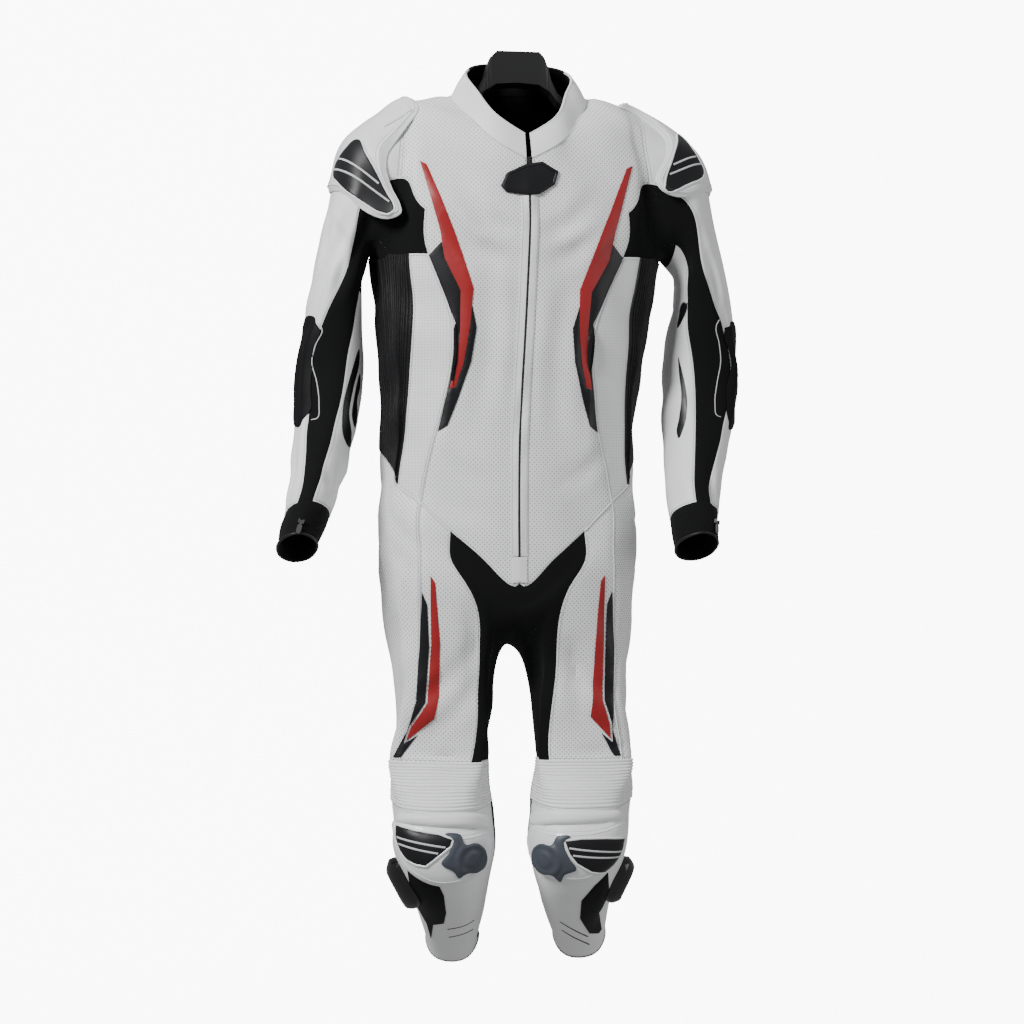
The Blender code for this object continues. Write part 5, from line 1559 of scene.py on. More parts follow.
# %% Outlines of the inlays
CHEST_RED = ((147, -165), (138, -170), (102, -259), (73, -339), (75, -390), (81, -440),
             (90, -472), (98, -475), (91, -440), (88, -394), (90, -342), (113, -299),
             (121, -258))
CHEST_BLACK = ((134, -294), (108, -353), (94.5, -386), (92.5, -420), (96.5, -455),
               (110, -532), (98, -524), (85, -486), (71, -438), (66, -392), (73.6, -362),
               (75, -390), (81, -440), (90, -472), (98, -475), (91, -440), (88, -394),
               (90, -342), (113, -299), (118, -276))
THIGH_RED = ((120, -727), (114, -736), (107, -820), (106, -890), (108, -922),
             (141, -953), (137, -933), (121, -900), (119, -820), (120, -760))
THIGH_BLACK = ((131, -750), (124, -767), (121.5, -825), (123.5, -900), (139.5, -932),
               (144, -957), (127, -945), (147, -976), (157, -976), (142, -940),
               (136.5, -898), (134.5, -824), (133, -790))
KNEE_FRONT_Y = LEG_AXIS[1] - 70.0       # the depth at which front outlines are hung


def front_outline(outline, sign):
    """An outline on the hung garment: mirrored, then leaned and turned with it."""
    return [np.array((hang((sign * x, KNEE_FRONT_Y, z))[0], z)) for x, z in outline]


print("corners of a red chest flash", len(CHEST_RED))


# %% Inlays on the chest and thighs
for side, sign in SIDES:
    chest = surface_of("front_panel_" + side)
    thigh = surface_of("leg_front_" + side, "leg_side_" + side)
    for name, host, outline, look, under in (
            ("chest_flash_red_", chest, CHEST_RED, "red", "front_panel_"),
            ("chest_flash_black_", chest, CHEST_BLACK, "black", "front_panel_"),
            ("thigh_flash_red_", thigh, THIGH_RED, "red", "leg_front_"),
            ("thigh_flash_black_", thigh, THIGH_BLACK, "black", "leg_front_")):
        curved = front_outline(outline, sign)
        made, _ = laid(name + side, "flash", host, FRONT, curved, look)
        sheet(made, *np.ptp(np.array(curved), axis=0), held="laid",
              rests=(panels[under + side].name,))
print("inlays", [row[0] for row in CUTS if "flash" in row[0]])


# %% [markdown]
# Shoulders and knees carry the same build: a white moulded cup with welts along its edge,
# a black inset with a cord round it, and two plain stripes. So the same helpers make
# both. The welts could be bump, but as real cords they catch the light from every side.

# %% What every cup gets
WELT_HEIGHT, WELT_IN, WELT_WIDE = 0.9, 7.0, 1.6     # the welt moulded inside the border
GROOVE_DEPTH, GROOVE_IN, GROOVE_WIDE = 0.5, 3.6, 1.2
CORD_LIFT, CORD_STEP, CORD_FLAT = 0.9, 2.2, 0.8
WELT_CORD, WELT_LIFT = 0.8, 0.1
STRIPE_AT, STRIPE_SLOPE = (-0.06, 0.10), 0.25       # shares of the inset's size
STRIPE_KEEP = 0.05      # how far a stripe's ends keep from the inset's edge
STRIPE_SIZE = (1.3, 0.5)
CUP_TRIM = {            # cut size of the inset, its edge cord, how far in the welts run
    "shoulder": ((85, 95), 1.5, (4.5, 8.5)), "knee": ((80, 60), 1.6, (4.0, 7.5))}


def ridges(inset):
    """A groove and a welt that run inside the border of a cup."""
    return WELT_HEIGHT * np.exp(-((inset - WELT_IN) / WELT_WIDE) ** 2) \
        - GROOVE_DEPTH * np.exp(-((inset - GROOVE_IN) / GROOVE_WIDE) ** 2)


def edging(name, skin, view, outline, half, lift, scale):
    """A cord that runs round an outline."""
    line = line_on(skin, view, outline, lift, CORD_STEP * scale, True)
    return cords(name, [cord_mesh(*line, half, half * CORD_FLAT, True)], "cup")


def stripes(name, surface, view, border):
    """Two plain parallel stripes across an inset, from edge to edge."""
    middle = np.mean(border, axis=0)
    wide = np.ptp(np.array(border), axis=0)
    lines = []
    for share in STRIPE_AT:
        run = np.array([middle + np.array((s, s * STRIPE_SLOPE + share)) * wide
                        for s in np.linspace(-0.5, 0.5, 41)])
        away, within = border_distances(run, border)
        run = run[within & (away > STRIPE_KEEP * wide.min())]
        lines.append(cord_mesh(*line_on(surface, view, run[[0, -1]], 0.0, LINE_STEP),
                               *STRIPE_SIZE))
    return cords(name, lines, "thread")


def cup_of(stem, side, host, view, outline, scale, bridge=0):
    """A moulded cup, and its skin to lay more on."""
    cup, skin = laid(stem + "_cup_" + side, stem + "_cup", host, view, outline, "cup",
                     scale, bridge,
                     relief=lambda flat, inset: ridges(inset / scale))
    return cup, skin


def dress_cup(stem, side, cup, skin, view, outline, border, scale):
    """The black inset of a cup, with its edge, welts and stripes."""
    cut, edge, welts = CUP_TRIM[stem]
    patch, top = laid(stem + "_inset_" + side, stem + "_inset", skin, view, border,
                      "black", scale, packed=False)
    sheet(patch, *cut, held="laid", rests=(cup.name,))
    edging(stem + "_edge_" + side, skin, view, border, edge, CORD_LIFT, scale)
    for number, away in enumerate(welts):
        edging("%s_welt_%s_%d" % (stem, side, number), skin, view,
               inset_outline(outline, away * scale), WELT_CORD, WELT_LIFT, scale)
    stripes(stem + "_stripes_" + side, top, view, border)


print("welts on a cup", len(CUP_TRIM["knee"][2]), "stripes", len(STRIPE_AT))


# %% [markdown]
# The shoulder cup wraps from the front over the shoulder to the back. No flat drawing
# from one side shows all of it, so it is drawn from an eye inside the chest, and its
# outline is named from the front and from behind. It bridges the armhole seam stiffly.

# %% Sizes of the shoulder cups
CUP_FRONT = {           # the right arm hangs lower, and its cup with it
    "r": ((144, -78), (145, -93), (157, -115), (183, -146), (190, -163), (188, -180),
          (179, -205), (166, -231), (163, -245), (173, -256), (197, -249),
          (223, -232), (241, -214)),
    "l": ((142, -76), (163, -82), (184, -98), (199, -118), (200, -137), (193, -155),
          (177, -179), (166, -200), (168, -215), (184, -222), (214, -212),
          (244, -198))}
CUP_BACK = ((248, -194), (228, -190), (206, -168), (190, -138), (172, -102), (158, -86))
CUP_EYE = (60, 50, -330)            # the point a shoulder cup is drawn from
CUP_WAY = (0.58, -0.20, 0.74)
CUP_DRAWN = 260.0       # size of the drawing that the sizes of the cup's make suit
CUP_BRIDGE = 900        # passes that straighten the cup
SHOULDER_INSET = {      # as seen from the stand: across, height
    "r": ((-216, -119), (-202, -142), (-189, -165), (-174, -195), (-165, -210),
          (-164, -218), (-172, -224), (-186, -222), (-205, -211), (-230, -193),
          (-245, -179), (-250, -170), (-248, -158), (-242, -145), (-231, -130),
          (-222, -121)),
    "l": ((234, -114), (230, -127), (223, -150), (214, -179), (213, -188), (217, -193),
          (228, -192), (241, -186), (268, -169), (268, -164), (262, -150), (251, -132),
          (241, -120))}
SHOULDER_BAR = {
    "r": ((-188, -89), (-146, -70), (-140, -80), (-179, -103)),
    "l": ((193, -70), (230, -95), (227, -103), (193, -78))}
print("corners of a shoulder cup", len(CUP_FRONT["r"]) + len(CUP_BACK))


# %% [markdown]
# The cup, its trim and a raised bar are laid in that order, each on the skin of the one
# below. The drawing from the eye is larger than the cup, so its sizes are scaled to it.

# %% Shoulder cups
def seen_outline(surface, view, outlines, sign):
    """Outline points named from the front and from behind, in another drawing."""
    spots = []
    for outline, axis in zip(outlines, ((0, 1, 0), (0, -1, 0))):
        sight = View(axis)
        for x, z in outline:
            start = sight.flat(np.array((hang((sign * x, 0.0, z))[0], 0.0, z)))
            spots.append(view.flat(surface.hit(*sight.ray(start))[0]))
    return spots


def drawn_size(outline):
    """The diagonal of a drawing."""
    return np.linalg.norm(np.ptp(np.array(outline), axis=0))


for side, sign in SIDES:
    host = surface_of(*(name + "_" + side for name in (
        "front_panel", "chest_stretch", "sleeve_outer", "sleeve_stretch")),
        "yoke_back", "back_panel")
    mirror = np.array((sign, 1.0, 1.0))
    view = View(mirror * CUP_WAY, eye=mirror * CUP_EYE)
    outline = rounded(seen_outline(host, view, (CUP_FRONT[side], CUP_BACK), sign))
    scale = drawn_size(outline) / CUP_DRAWN
    cup, skin = cup_of("shoulder", side, host, view, outline, scale, CUP_BRIDGE)
    border = rounded(seen(skin, view, SHOULDER_INSET[side]))
    dress_cup("shoulder", side, cup, skin, view, outline, border, scale)
    bar, _ = laid("shoulder_bar_" + side, "shoulder_bar", skin, view,
                  seen(skin, view, SHOULDER_BAR[side]), "cup", scale, packed=False)
print("shoulder cup", len(cup.data.polygons), "faces")


# %% [markdown]
# At the knee a padding roll, a cup, a round rubber piece and a replaceable slider lie
# one beside the other on the bent leg. Their outlines are named from the front and laid
# from an eye inside the knee. Modelling them flat and bending them would stretch them.

# %% Sizes of the knee pieces
KNEE_MIDDLE = 93.0      # knee outlines are (outward from the leg's middle, z)
KNEE_ROLL = ((62, -1058), (58, -1050), (40, -1046), (8, -1045), (-25, -1045),
             (-48, -1048), (-60, -1056), (-62, -1068), (-30, -1065), (20, -1062))
KNEE_CUP = ((66, -1062), (20, -1066), (-30, -1069), (-62, -1072), (-66, -1088),
            (-62, -1114), (-44, -1134), (-14, -1144), (6, -1144), (34, -1133),
            (54, -1114), (63, -1086))
KNEE_EYE = (40, -1085)  # y and z of the point that the knee outlines are drawn from
KNEE_DRAWN = 155.0      # size of the drawing that the sizes of the knee's makes suit
KNEE_TIP = -0.1         # the drawing from inside looks a little down
DISC = {"r": (-56, -1126), "l": (47, -1126)}        # middle of the rubber piece
DISC_STEP = 1.5         # width of the slopes on it
DISC_RINGS = ((17.5, 1.8), (13.0, -1.5), (8.0, 1.3))    # radius and height of its steps
KNEE_RUBBER = {
    "r": ((-94, -1092), (-73, -1093), (-66, -1106), (-51, -1104), (-40, -1113),
          (-36, -1126), (-40, -1138), (-51, -1144), (-65, -1146), (-74, -1153),
          (-82, -1144), (-99, -1133), (-87, -1116), (-82, -1101)),
    "l": ((82, -1095), (64, -1095), (56, -1107), (42, -1105), (32, -1113), (29, -1125),
          (32, -1137), (42, -1144), (57, -1148), (68, -1158), (74, -1148), (90, -1141),
          (79, -1123), (73, -1104))}
KNEE_INSET = {
    "r": ((-162, -1078), (-133, -1087), (-102, -1092), (-82, -1099), (-85, -1109),
          (-102, -1123), (-120, -1137), (-133, -1135), (-147, -1128), (-156, -1116),
          (-162, -1099)),
    "l": ((164, -1092), (131, -1097), (97, -1098), (73, -1101), (80, -1120),
          (90, -1133), (111, -1145), (131, -1149), (145, -1137), (159, -1123),
          (164, -1109))}
SLIDER_BASE = {
    "r": ((-147, -1131), (-123, -1139), (-104, -1159), (-95, -1178), (-92, -1202),
          (-95, -1216), (-110, -1218), (-113, -1237), (-119, -1216), (-128, -1200),
          (-146, -1184)),
    "l": ((154, -1139), (134, -1145), (115, -1164), (97, -1185), (95, -1209),
          (108, -1230), (121, -1230), (133, -1218), (127, -1264), (147, -1233),
          (157, -1209), (162, -1177))}
SHIN_LINES = {
    "r": (((-90, -1225), (-70, -1221), (-53, -1212)),
          ((-88, -1236), (-70, -1232), (-55, -1225))),
    "l": (((67, -1214), (87, -1226), (106, -1235)),
          ((70, -1226), (88, -1237), (108, -1246)))}
SLIDER_HALF = (58, 92)  # half width and half height in the drawing from inside
SLIDER_CORNERS = 48
SLIDER_CENTRE = (90, -16, -1141)
SLIDER_WAY = (0.93, -0.30, -0.22)
BASE_CUT = (60, 80)     # cut size of the patch under the slider
SHIN_LIFT, SHIN_CORD = 0.1, (1.2, 0.5)
print("corners of a knee cup", len(KNEE_CUP))


# %% Knee cups, rolls and rubber pieces
turned = math.radians(KNEE_TURN)
knee_sight = View((-math.sin(turned), math.cos(turned), 0))


def rings(flat, middle, scale):
    """A raised rim and hub on a rubber knee piece."""
    out = np.linalg.norm(flat - middle, axis=1) / scale
    return sum(height * np.clip((radius - out) / DISC_STEP, 0, 1)
               for radius, height in DISC_RINGS)


def knee_outline(outline, host, view, sign):
    """A knee outline, named from the front, in the drawing from inside."""
    spots = []
    for out, z in outline:
        placed = hang((sign * (KNEE_MIDDLE + out), LEG_AXIS[1], z))
        start = knee_sight.flat(np.array(placed))
        spots.append(view.flat(host.hit(*knee_sight.ray(start))[0]))
    return rounded(spots)


def knee(side, sign, host):
    """The cup of a knee with what lies on it, and the roll above it."""
    view = View((math.sin(turned), -math.cos(turned), KNEE_TIP),
                eye=hang((sign * KNEE_MIDDLE,) + KNEE_EYE))
    outline = knee_outline(KNEE_CUP, host, view, sign)
    scale = drawn_size(outline) / KNEE_DRAWN
    cup, skin = cup_of("knee", side, host, view, outline, scale)
    roll, _ = laid("knee_roll_" + side, "knee_roll", host, view,
                   knee_outline(KNEE_ROLL, host, view, sign), "white", scale)
    dress_cup("knee", side, cup, skin, view, outline,
              seen(skin, view, KNEE_INSET[side]), scale)
    disc = seen(skin, view, (DISC[side],))[0]
    rubber, _ = laid("knee_rubber_" + side, "knee_rubber", skin, view,
                     rounded(seen(skin, view, KNEE_RUBBER[side])), "rubber", scale,
                     relief=lambda flat, inset: rings(flat, disc, scale))


print("a knee disc has", len(DISC_RINGS), "steps")


# %% [markdown]
# A knee slider is a hard plastic puck that touches the track in a bend. It is thick and
# domed, so it gets a wide soft edge. Under it lies a black patch that holds it, with two
# plain lines beside it on the shin.

# %% Sliders and the whole knee
def slider(side, sign, host):
    """The black patch on a shin, plain lines beside it, and the slider on the knee."""
    base, _ = laid("slider_base_" + side, "slider_base", host, SEEN,
                   seen(host, SEEN, SLIDER_BASE[side]), "pad", packed=False)
    sheet(base, *BASE_CUT, held="laid", rests=(panels["knee_shin_" + side].name,))
    lines = [line_on(host, SEEN, seen(host, SEEN, line), SHIN_LIFT, LINE_STEP)
             for line in SHIN_LINES[side]]
    cords("shin_lines_" + side, [cord_mesh(*line, *SHIN_CORD) for line in lines], "black")
    across, ahead, up = SLIDER_WAY
    view = View((sign * across - ahead * math.sin(turned), ahead, up),
                eye=hang((sign * SLIDER_CENTRE[0],) + SLIDER_CENTRE[1:]))
    turns = [math.tau * k / SLIDER_CORNERS for k in range(SLIDER_CORNERS)]
    ring = [np.array((SLIDER_HALF[0] * math.cos(turn), SLIDER_HALF[1] * math.sin(turn)))
            for turn in turns]
    laid("knee_slider_" + side, "knee_slider", host, view, ring, "puck")


for side, sign in SIDES:
    host = surface_of("knee_shin_" + side, "calf_stretch_" + side)
    knee(side, sign, host)
    slider(side, sign, host)
print("cuts so far", len(CUTS))


# %% [markdown]
# The elbow pad is soft leather over foam on the outer side of the arm, and a light cord
# runs along its front. The cord passes from the sleeve over the pad, so it is drawn on
# both at once: their triangles are joined into one surface.

# %% Elbow pads
ELBOW_PAD = ((-32, -388), (-20, -374), (10, -372), (40, -392), (50, -430), (40, -474),
             (14, -508), (-20, -524), (-38, -524), (-43, -512), (-37, -480), (-31, -454),
             (-29, -420))
ELBOW_LINE = {          # the light cord on the pad, as seen from the stand
    "r": ((-272, -377), (-266, -384), (-275, -408), (-280, -430), (-273, -460),
          (-270, -490), (-273, -510), (-281, -512)),
    "l": ((290, -372), (286, -380), (290, -406), (292, -430), (287, -460),
          (284, -490), (287, -506), (292, -508))}
LINE_PARTS = 5          # points that rounding adds for each corner
ELBOW_LIFT, ELBOW_CORD = 0.2, (0.7, 0.5)
for side, sign in SIDES:
    host = surface_of("sleeve_outer_" + side, "sleeve_stretch_" + side)
    pad, skin = laid("elbow_pad_" + side, "elbow_pad", host, View((-sign, 0, 0)),
                     rounded([(sign * y, z) for y, z in ELBOW_PAD]), "pad")
    both = Surface(np.vstack([host.points, skin.points]),
                   np.vstack([host.normals, skin.normals]),
                   host.triangles + [tuple(k + len(host.points) for k in t)
                                     for t in skin.triangles])
    line = rounded(seen(both, SEEN, ELBOW_LINE[side]), LINE_PARTS,
                   (0, len(ELBOW_LINE[side]) - 1))[:1 - LINE_PARTS]
    cords("elbow_line_" + side,
          [cord_mesh(*line_on(both, SEEN, line, ELBOW_LIFT, LINE_STEP), *ELBOW_CORD)],
          "thread")
print("elbow pad", len(pad.data.polygons), "faces")


# %% [markdown]
# Two curved black stripes run down the inside of each forearm. They are thin inlays, as
# the flashes are, but drawn from the stand, because the arms hang at an angle there.

# %% Stripes inside the arms
ARM_STRIPES = {
    "r": (((-203, -413), (-214, -445), (-220, -466), (-227, -509), (-224, -539),
           (-217, -551), (-214, -532), (-217, -505), (-211, -466), (-203, -431)),
          ((-202, -448), (-211, -486), (-213, -509), (-209, -523), (-206, -507),
           (-206, -484), (-202, -465))),
    "l": (((245, -321), (233, -350), (229, -367), (227, -384), (233, -374),
           (242, -356), (246, -343)),
          ((228, -423), (229, -447), (232, -476), (229, -510), (226, -532),
           (228, -538), (235, -524), (240, -495), (238, -466), (231, -435)))}
STRIPE_SHIFT = {"r": -11.0, "l": 5.0}       # keeps the stripes off the arm's edge
ARM_STRIPE_CUT = (22, 110)
for side in "rl":
    host = surface_of("sleeve_inner_" + side)
    for number, outline in enumerate(ARM_STRIPES[side]):
        outline = [(across + STRIPE_SHIFT[side], z) for across, z in outline]
        stripe, _ = laid("arm_stripe_%s_%d" % (side, number), "arm_stripe", host, SEEN,
                         rounded(seen(host, SEEN, outline)), "black", packed=False)
        sheet(stripe, *ARM_STRIPE_CUT, held="laid",
              rests=(panels["sleeve_inner_" + side].name,))
print("arm stripe", len(stripe.data.polygons), "faces")


# %% [markdown]
# The collar stands up from the neck seam and leans in a little. An extruded edge would
# stand straight, so each point of the neck edge gets its own rising line instead, from
# tables that run from the front to the back. A binding closes the top edge.

# %% Collar sizes and the neck edge
COLLAR_WALL, COLLAR_SWELL = 3.2, 1.2    # thickness, and how far the collar bulges
COLLAR_AXIS_Y = 12.0
COLLAR_FRONT_Y, COLLAR_BACK_Y = -102.0, 68.0
COLLAR_HEIGHT = ((0.0, 0.3, 0.62, 1.0), (36, 38, 40, 42))   # share from the front, mm
COLLAR_LEAN = ((0.0, 0.3, 0.62, 1.0), (22, 30, 30, 10))     # share, degrees inwards
COLLAR_STEPS = 10
COLLAR_TUCK = 1.4       # the collar is sewn inside the neck edge
COLLAR_CUT = 42.0       # height of the cut piece
BINDING = (COLLAR_WALL / 2 + 0.5, 1.5)  # half sizes of the binding, across and up
rim_mates = {}
for a, b in rim_of(faces):
    rim_mates.setdefault(a, []).append(b)
    rim_mates.setdefault(b, []).append(a)


def border_walk(start, goal):
    """Point numbers along the garment's open edge, the shorter way round."""
    routes = []
    for first in rim_mates[start]:
        route = [start, first]
        while route[-1] != goal:
            route.append([k for k in rim_mates[route[-1]] if k != route[-2]][0])
        routes.append(route)
    return min(routes, key=len)


halves = {}
for side in "lr":
    route = border_walk(net.keys[(side, "yoke2", 0)], net.keys[("mid", "shoulder", 12)])
    corner = route.index(net.keys[(side, "shoulder", 1)])
    halves[side] = (route[:corner + 1], route[corner:])
collar_routes = {"collar_front_l": halves["l"][0], "collar_front_r": halves["r"][0],
                 "collar_back": halves["l"][1] + halves["r"][1][-2::-1]}
print("points along the neck", {k: len(v) for k, v in collar_routes.items()})


# %% [markdown]
# Each piece of the collar is a closed block: rising lines side by side, and the same
# lines again one thickness further in. The back is stretch fabric, the fronts are leather.

# %% Collar
def collar(name, route):
    """One piece of the collar; gives the mesh of its binding."""
    outer, inner_side, tops = [], [], []
    up = np.linspace(0, 1, COLLAR_STEPS)
    for k in route:
        x, y, _ = points[k]
        inward = np.array((-x, COLLAR_AXIS_Y - y, 0.0))
        inward /= np.linalg.norm(inward)
        share = min(max((y - COLLAR_FRONT_Y) / (COLLAR_BACK_Y - COLLAR_FRONT_Y), 0), 1)
        lean = math.radians(np.interp(share, *COLLAR_LEAN))
        height = np.interp(share, *COLLAR_HEIGHT)
        rise = inward * math.sin(lean) + np.array((0, 0, math.cos(lean)))
        facing = -inward * math.cos(lean) + np.array((0, 0, math.sin(lean)))
        line = points[k] + np.outer(height * up - COLLAR_TUCK * (1 - up), rise)
        line += np.outer(COLLAR_SWELL * np.sin(up * math.pi), facing)
        outer.append(line)
        inner_side.append(line - facing * COLLAR_WALL)
        tops.append((line[-1] - facing * COLLAR_WALL / 2, rise))
    spots, corners, marks = closed_block(np.array(outer), np.array(inner_side))
    look = "stretch" if name == "collar_back" else "white"
    made = piece(name, spots, corners, look, (name,), marks)
    sheet(made, sum(np.linalg.norm(b[0] - a[0]) for a, b in zip(outer, outer[1:])),
          COLLAR_CUT)
    return cord_mesh(*(np.array(v) for v in zip(*tops)), *BINDING)


bindings = [collar(name, route) for name, route in collar_routes.items()]
cords("collar_binding_front", bindings[:2], "white")
cords("collar_binding_back", bindings[2:], "black")
print("binding rings", [len(spots) // CORD_SIDES for spots, _ in bindings])


# %% [markdown]
# The front closes with a coarse zip. Its teeth are small blocks, one after the other and
# left and right by turns. An Array modifier on a curve could set them, but a loop over
# the length of the opening gives each tooth its own place and one mesh for all.

# %% Rows of small blocks
def along_path(path):
    """How far along a path each of its points lies."""
    steps = np.linalg.norm(np.diff(path, axis=0), axis=1)
    return np.concatenate([[0], np.cumsum(steps)])


def spot_at(where, run, rows):
    """A row of numbers between the rows of a path, at some length along it."""
    return np.array([np.interp(where, run, rows[:, c]) for c in range(3)])


def box_mesh(middle, across, along, out, half):
    """A small block on three directions."""
    spots = [middle + across * x * half[0] + along * y * half[1] + out * z * half[2]
             for x in (-1, 1) for y in (-1, 1) for z in (-1, 1)]
    corners = [(0, 1, 3, 2), (4, 6, 7, 5), (0, 4, 5, 1), (2, 3, 7, 6), (0, 2, 6, 4),
               (1, 5, 7, 3)]
    return np.array(spots), corners


print("a run of 3 and 4 mm measures", along_path(np.array(((0, 0), (3, 0), (3, 4)))))


# %% [markdown]
# The teeth follow the middle of the opening, which is the mean of its two edges. Every
# second tooth belongs to the other side, so it is shifted across.

# %% Front zip
TOOTH = (1.5, 0.9, 0.8)  # half sizes across, along and out, of one zip tooth
TOOTH_PITCH, TOOTH_SHIFT, TOOTH_LIFT = 2.6, 0.7, 0.2
ZIP_END = 2.0           # no tooth this near to an end of the opening
edges = {side: border_walk(net.keys[(side, "yoke2", 0)],
                           net.keys[("mid", "waist", 0)])[:-1] for side in "lr"}
middle_line = (points[edges["l"]] + points[edges["r"]]) / 2
middle_line[:, 1] = np.minimum(points[edges["l"]][:, 1], points[edges["r"]][:, 1])
lengths = along_path(middle_line)
teeth = []
for number, at in enumerate(np.arange(ZIP_END, lengths[-1] - ZIP_END, TOOTH_PITCH)):
    spot, later = (spot_at(where, lengths, middle_line) for where in (at, at + 1))
    along = (later - spot) / np.linalg.norm(later - spot)
    across = np.array((1.0, 0, 0))
    across -= along * (across @ along)
    out = np.cross(along, across)
    out *= -np.sign(out[1])
    shift = across * (TOOTH_SHIFT if number % 2 else -TOOTH_SHIFT)
    teeth.append(box_mesh(spot + shift + out * TOOTH_LIFT, across, along, -out, TOOTH))
cords("front_zip_teeth", teeth, "dark_thread")
print("zip teeth", len(teeth))


# %% [markdown]
# A padded flap over the top of the zip guards the throat. It lies across both front
# panels, so the gap between them is first closed with a strip of triangles to lay on.

# %% Throat flap
THROAT_FLAP = ((18, -155), (-8, -167), (-16, -185), (-8, -194), (23, -198), (38, -197),
               (60, -183), (65, -165), (42, -151))
FLAP_BRIDGE = 60        # passes that straighten the flap over the zip
FLAP_EDGE_IN, FLAP_LIFT, FLAP_STEP, FLAP_CORD = 3.0, 0.3, 2.5, (1.2, 0.9)
front_host = surface_of("front_panel")
across_zip = []
for (a, b), (c, d) in zip(zip(edges["r"], edges["r"][1:]), zip(edges["l"], edges["l"][1:])):
    across_zip += [(b, d, c), (b, c, a)]
zip_host = Surface(points, normals, front_host.triangles + across_zip)
flap_outline = seen(zip_host, FRONT, THROAT_FLAP)
flap, flap_skin = laid("throat_flap", "throat_flap", zip_host, FRONT, flap_outline,
                       "black", bridge=FLAP_BRIDGE)
flap_line = line_on(flap_skin, FRONT, inset_outline(flap_outline, FLAP_EDGE_IN),
                    FLAP_LIFT, FLAP_STEP, True)
cords("throat_flap_edge", [cord_mesh(*flap_line, *FLAP_CORD, True)], "black")
print("throat flap", [round(v) for v in np.ptp(np.array(flap_outline), axis=0)], "mm")


# %% [markdown]
# Plackets are narrow leather strips that hold the zip tape down on either side, and a
# small patch covers its lower end. Both follow the zip, whatever its curve, because
# their outlines are measured from it at many heights.

# %% Plackets and the zip's end
PLACKET_IN, PLACKET_OUT = 1.4, 12.0     # from the zip's middle
PLACKET_TOP, PLACKET_END, END_LOW = -196.0, -701.0, -737.0
PLACKET_ROWS, END_HALF, END_GAP = 26, 10.5, 1.0
PLACKET_CUT, END_CUT = (12, 510), (21, 35)
ROW_IN, ROW_LIFT, ROW_STEP = 2.0, 0.05, 1.5     # the row of stitches on each strip


def zip_x(z):
    """Where the front zip runs at some height."""
    order = np.argsort(middle_line[:, 2])
    return float(np.interp(z, middle_line[order, 2], middle_line[order, 0]))


def beside_zip(near, far, heights):
    """A strip's outline beside the zip."""
    edge = [np.array((zip_x(z) + near, z)) for z in heights]
    return edge + [np.array((zip_x(z) + far, z)) for z in reversed(heights)]


heights = list(np.linspace(PLACKET_TOP, PLACKET_END, PLACKET_ROWS))
stitch_lines = []
for side, sign in SIDES:
    outline = beside_zip(sign * PLACKET_IN, sign * PLACKET_OUT, heights)
    strip, strip_skin = laid("placket_" + side, "placket", zip_host, FRONT, outline,
                             "white", packed=False)
    sheet(strip, *PLACKET_CUT, held="laid", rests=(panels["front_panel_" + side].name,))
    line = [np.array((zip_x(z) + sign * (PLACKET_OUT - ROW_IN), z)) for z in heights]
    stitch_lines.append(line_on(strip_skin, FRONT, line, ROW_LIFT, ROW_STEP))
outline = beside_zip(-END_HALF, END_HALF, [PLACKET_END - END_GAP, END_LOW])
end_patch, _ = laid("zip_end", "zip_end", zip_host, FRONT, outline, "white",
                    packed=False)
sheet(end_patch, *END_CUT, held="laid", rests=(panels["front_panel_l"].name,))
print("plackets", [round(heights[k]) for k in (0, -1)])


# %% [markdown]
# Every cut edge of white leather is stitched down beside its seam. A dashed texture
# would look flat in side light, so each stitch is a small block. Chains turn loose edges
# of the mesh into lines, and the rows are set along them at an even step.

# %% Stitches
STITCH, STITCH_STEP, STITCH_IN = (0.42, 1.35, 0.22), 3.9, 2.4  # across, along, out
SHORTEST_ROW = 12.0     # no stitches on a shorter edge
LEAST_STEP = 1.5        # points nearer than this are left out of a row's path
GUSSET_LOW = {"sleeve_inner_r": -352.0, "sleeve_inner_l": -297.0}   # black above this z
LIGHT = ("front_panel", "side_strip", "leg_front", "leg_side", "knee_shin",
         "sleeve_outer", "sleeve_inner", "back_panel")


def chains(pairs):
    """Broken lines from loose edges."""
    mates = {}
    for a, b in pairs:
        mates.setdefault(a, set()).add(b)
        mates.setdefault(b, set()).add(a)
    lines = []
    starts = sorted(k for k, v in mates.items() if len(v) != 2) + sorted(mates)
    for start in starts:
        while mates.get(start):
            line = [start]
            while mates.get(line[-1]):
                ahead = min(mates[line[-1]])
                mates[line[-1]].discard(ahead)
                mates[ahead].discard(line[-1])
                line.append(ahead)
            lines.append(line)
    return lines


def stitch_row(path, facing):
    """Stitches at an even step along a path on the cloth."""
    run = along_path(path)
    if run[-1] < SHORTEST_ROW:
        return []
    result = []
    for at in np.arange(STITCH_STEP, run[-1] - STITCH_STEP, STITCH_STEP):
        spot, ahead, out = (spot_at(where, run, rows) for where, rows in (
            (at, path), (at + 1, path), (at, facing)))
        along = ahead - spot
        along /= max(np.linalg.norm(along), 1e-9)
        out /= np.linalg.norm(out)
        across = np.cross(along, out)
        result.append(box_mesh(spot + out * STITCH[2], across, along, out, STITCH))
    return result


def seam_rows(tag):
    """The rows of stitches inside the white part of a panel's border."""
    top = GUSSET_LOW.get(tag, math.inf)
    rim = [(a, b) for a, b in rim_of(faces[panel_faces[tag]])
           if max(points[a][2], points[b][2]) < top]
    inside = draw_in(points, normals, rim, STITCH_IN)
    result = []
    for line in chains(rim):
        path = inside[line]
        keep = [0]
        for k in range(1, len(path)):
            if np.linalg.norm(path[k] - path[keep[-1]]) > LEAST_STEP:
                keep.append(k)
        result += stitch_row(path[keep], normals[line][keep])
    return result


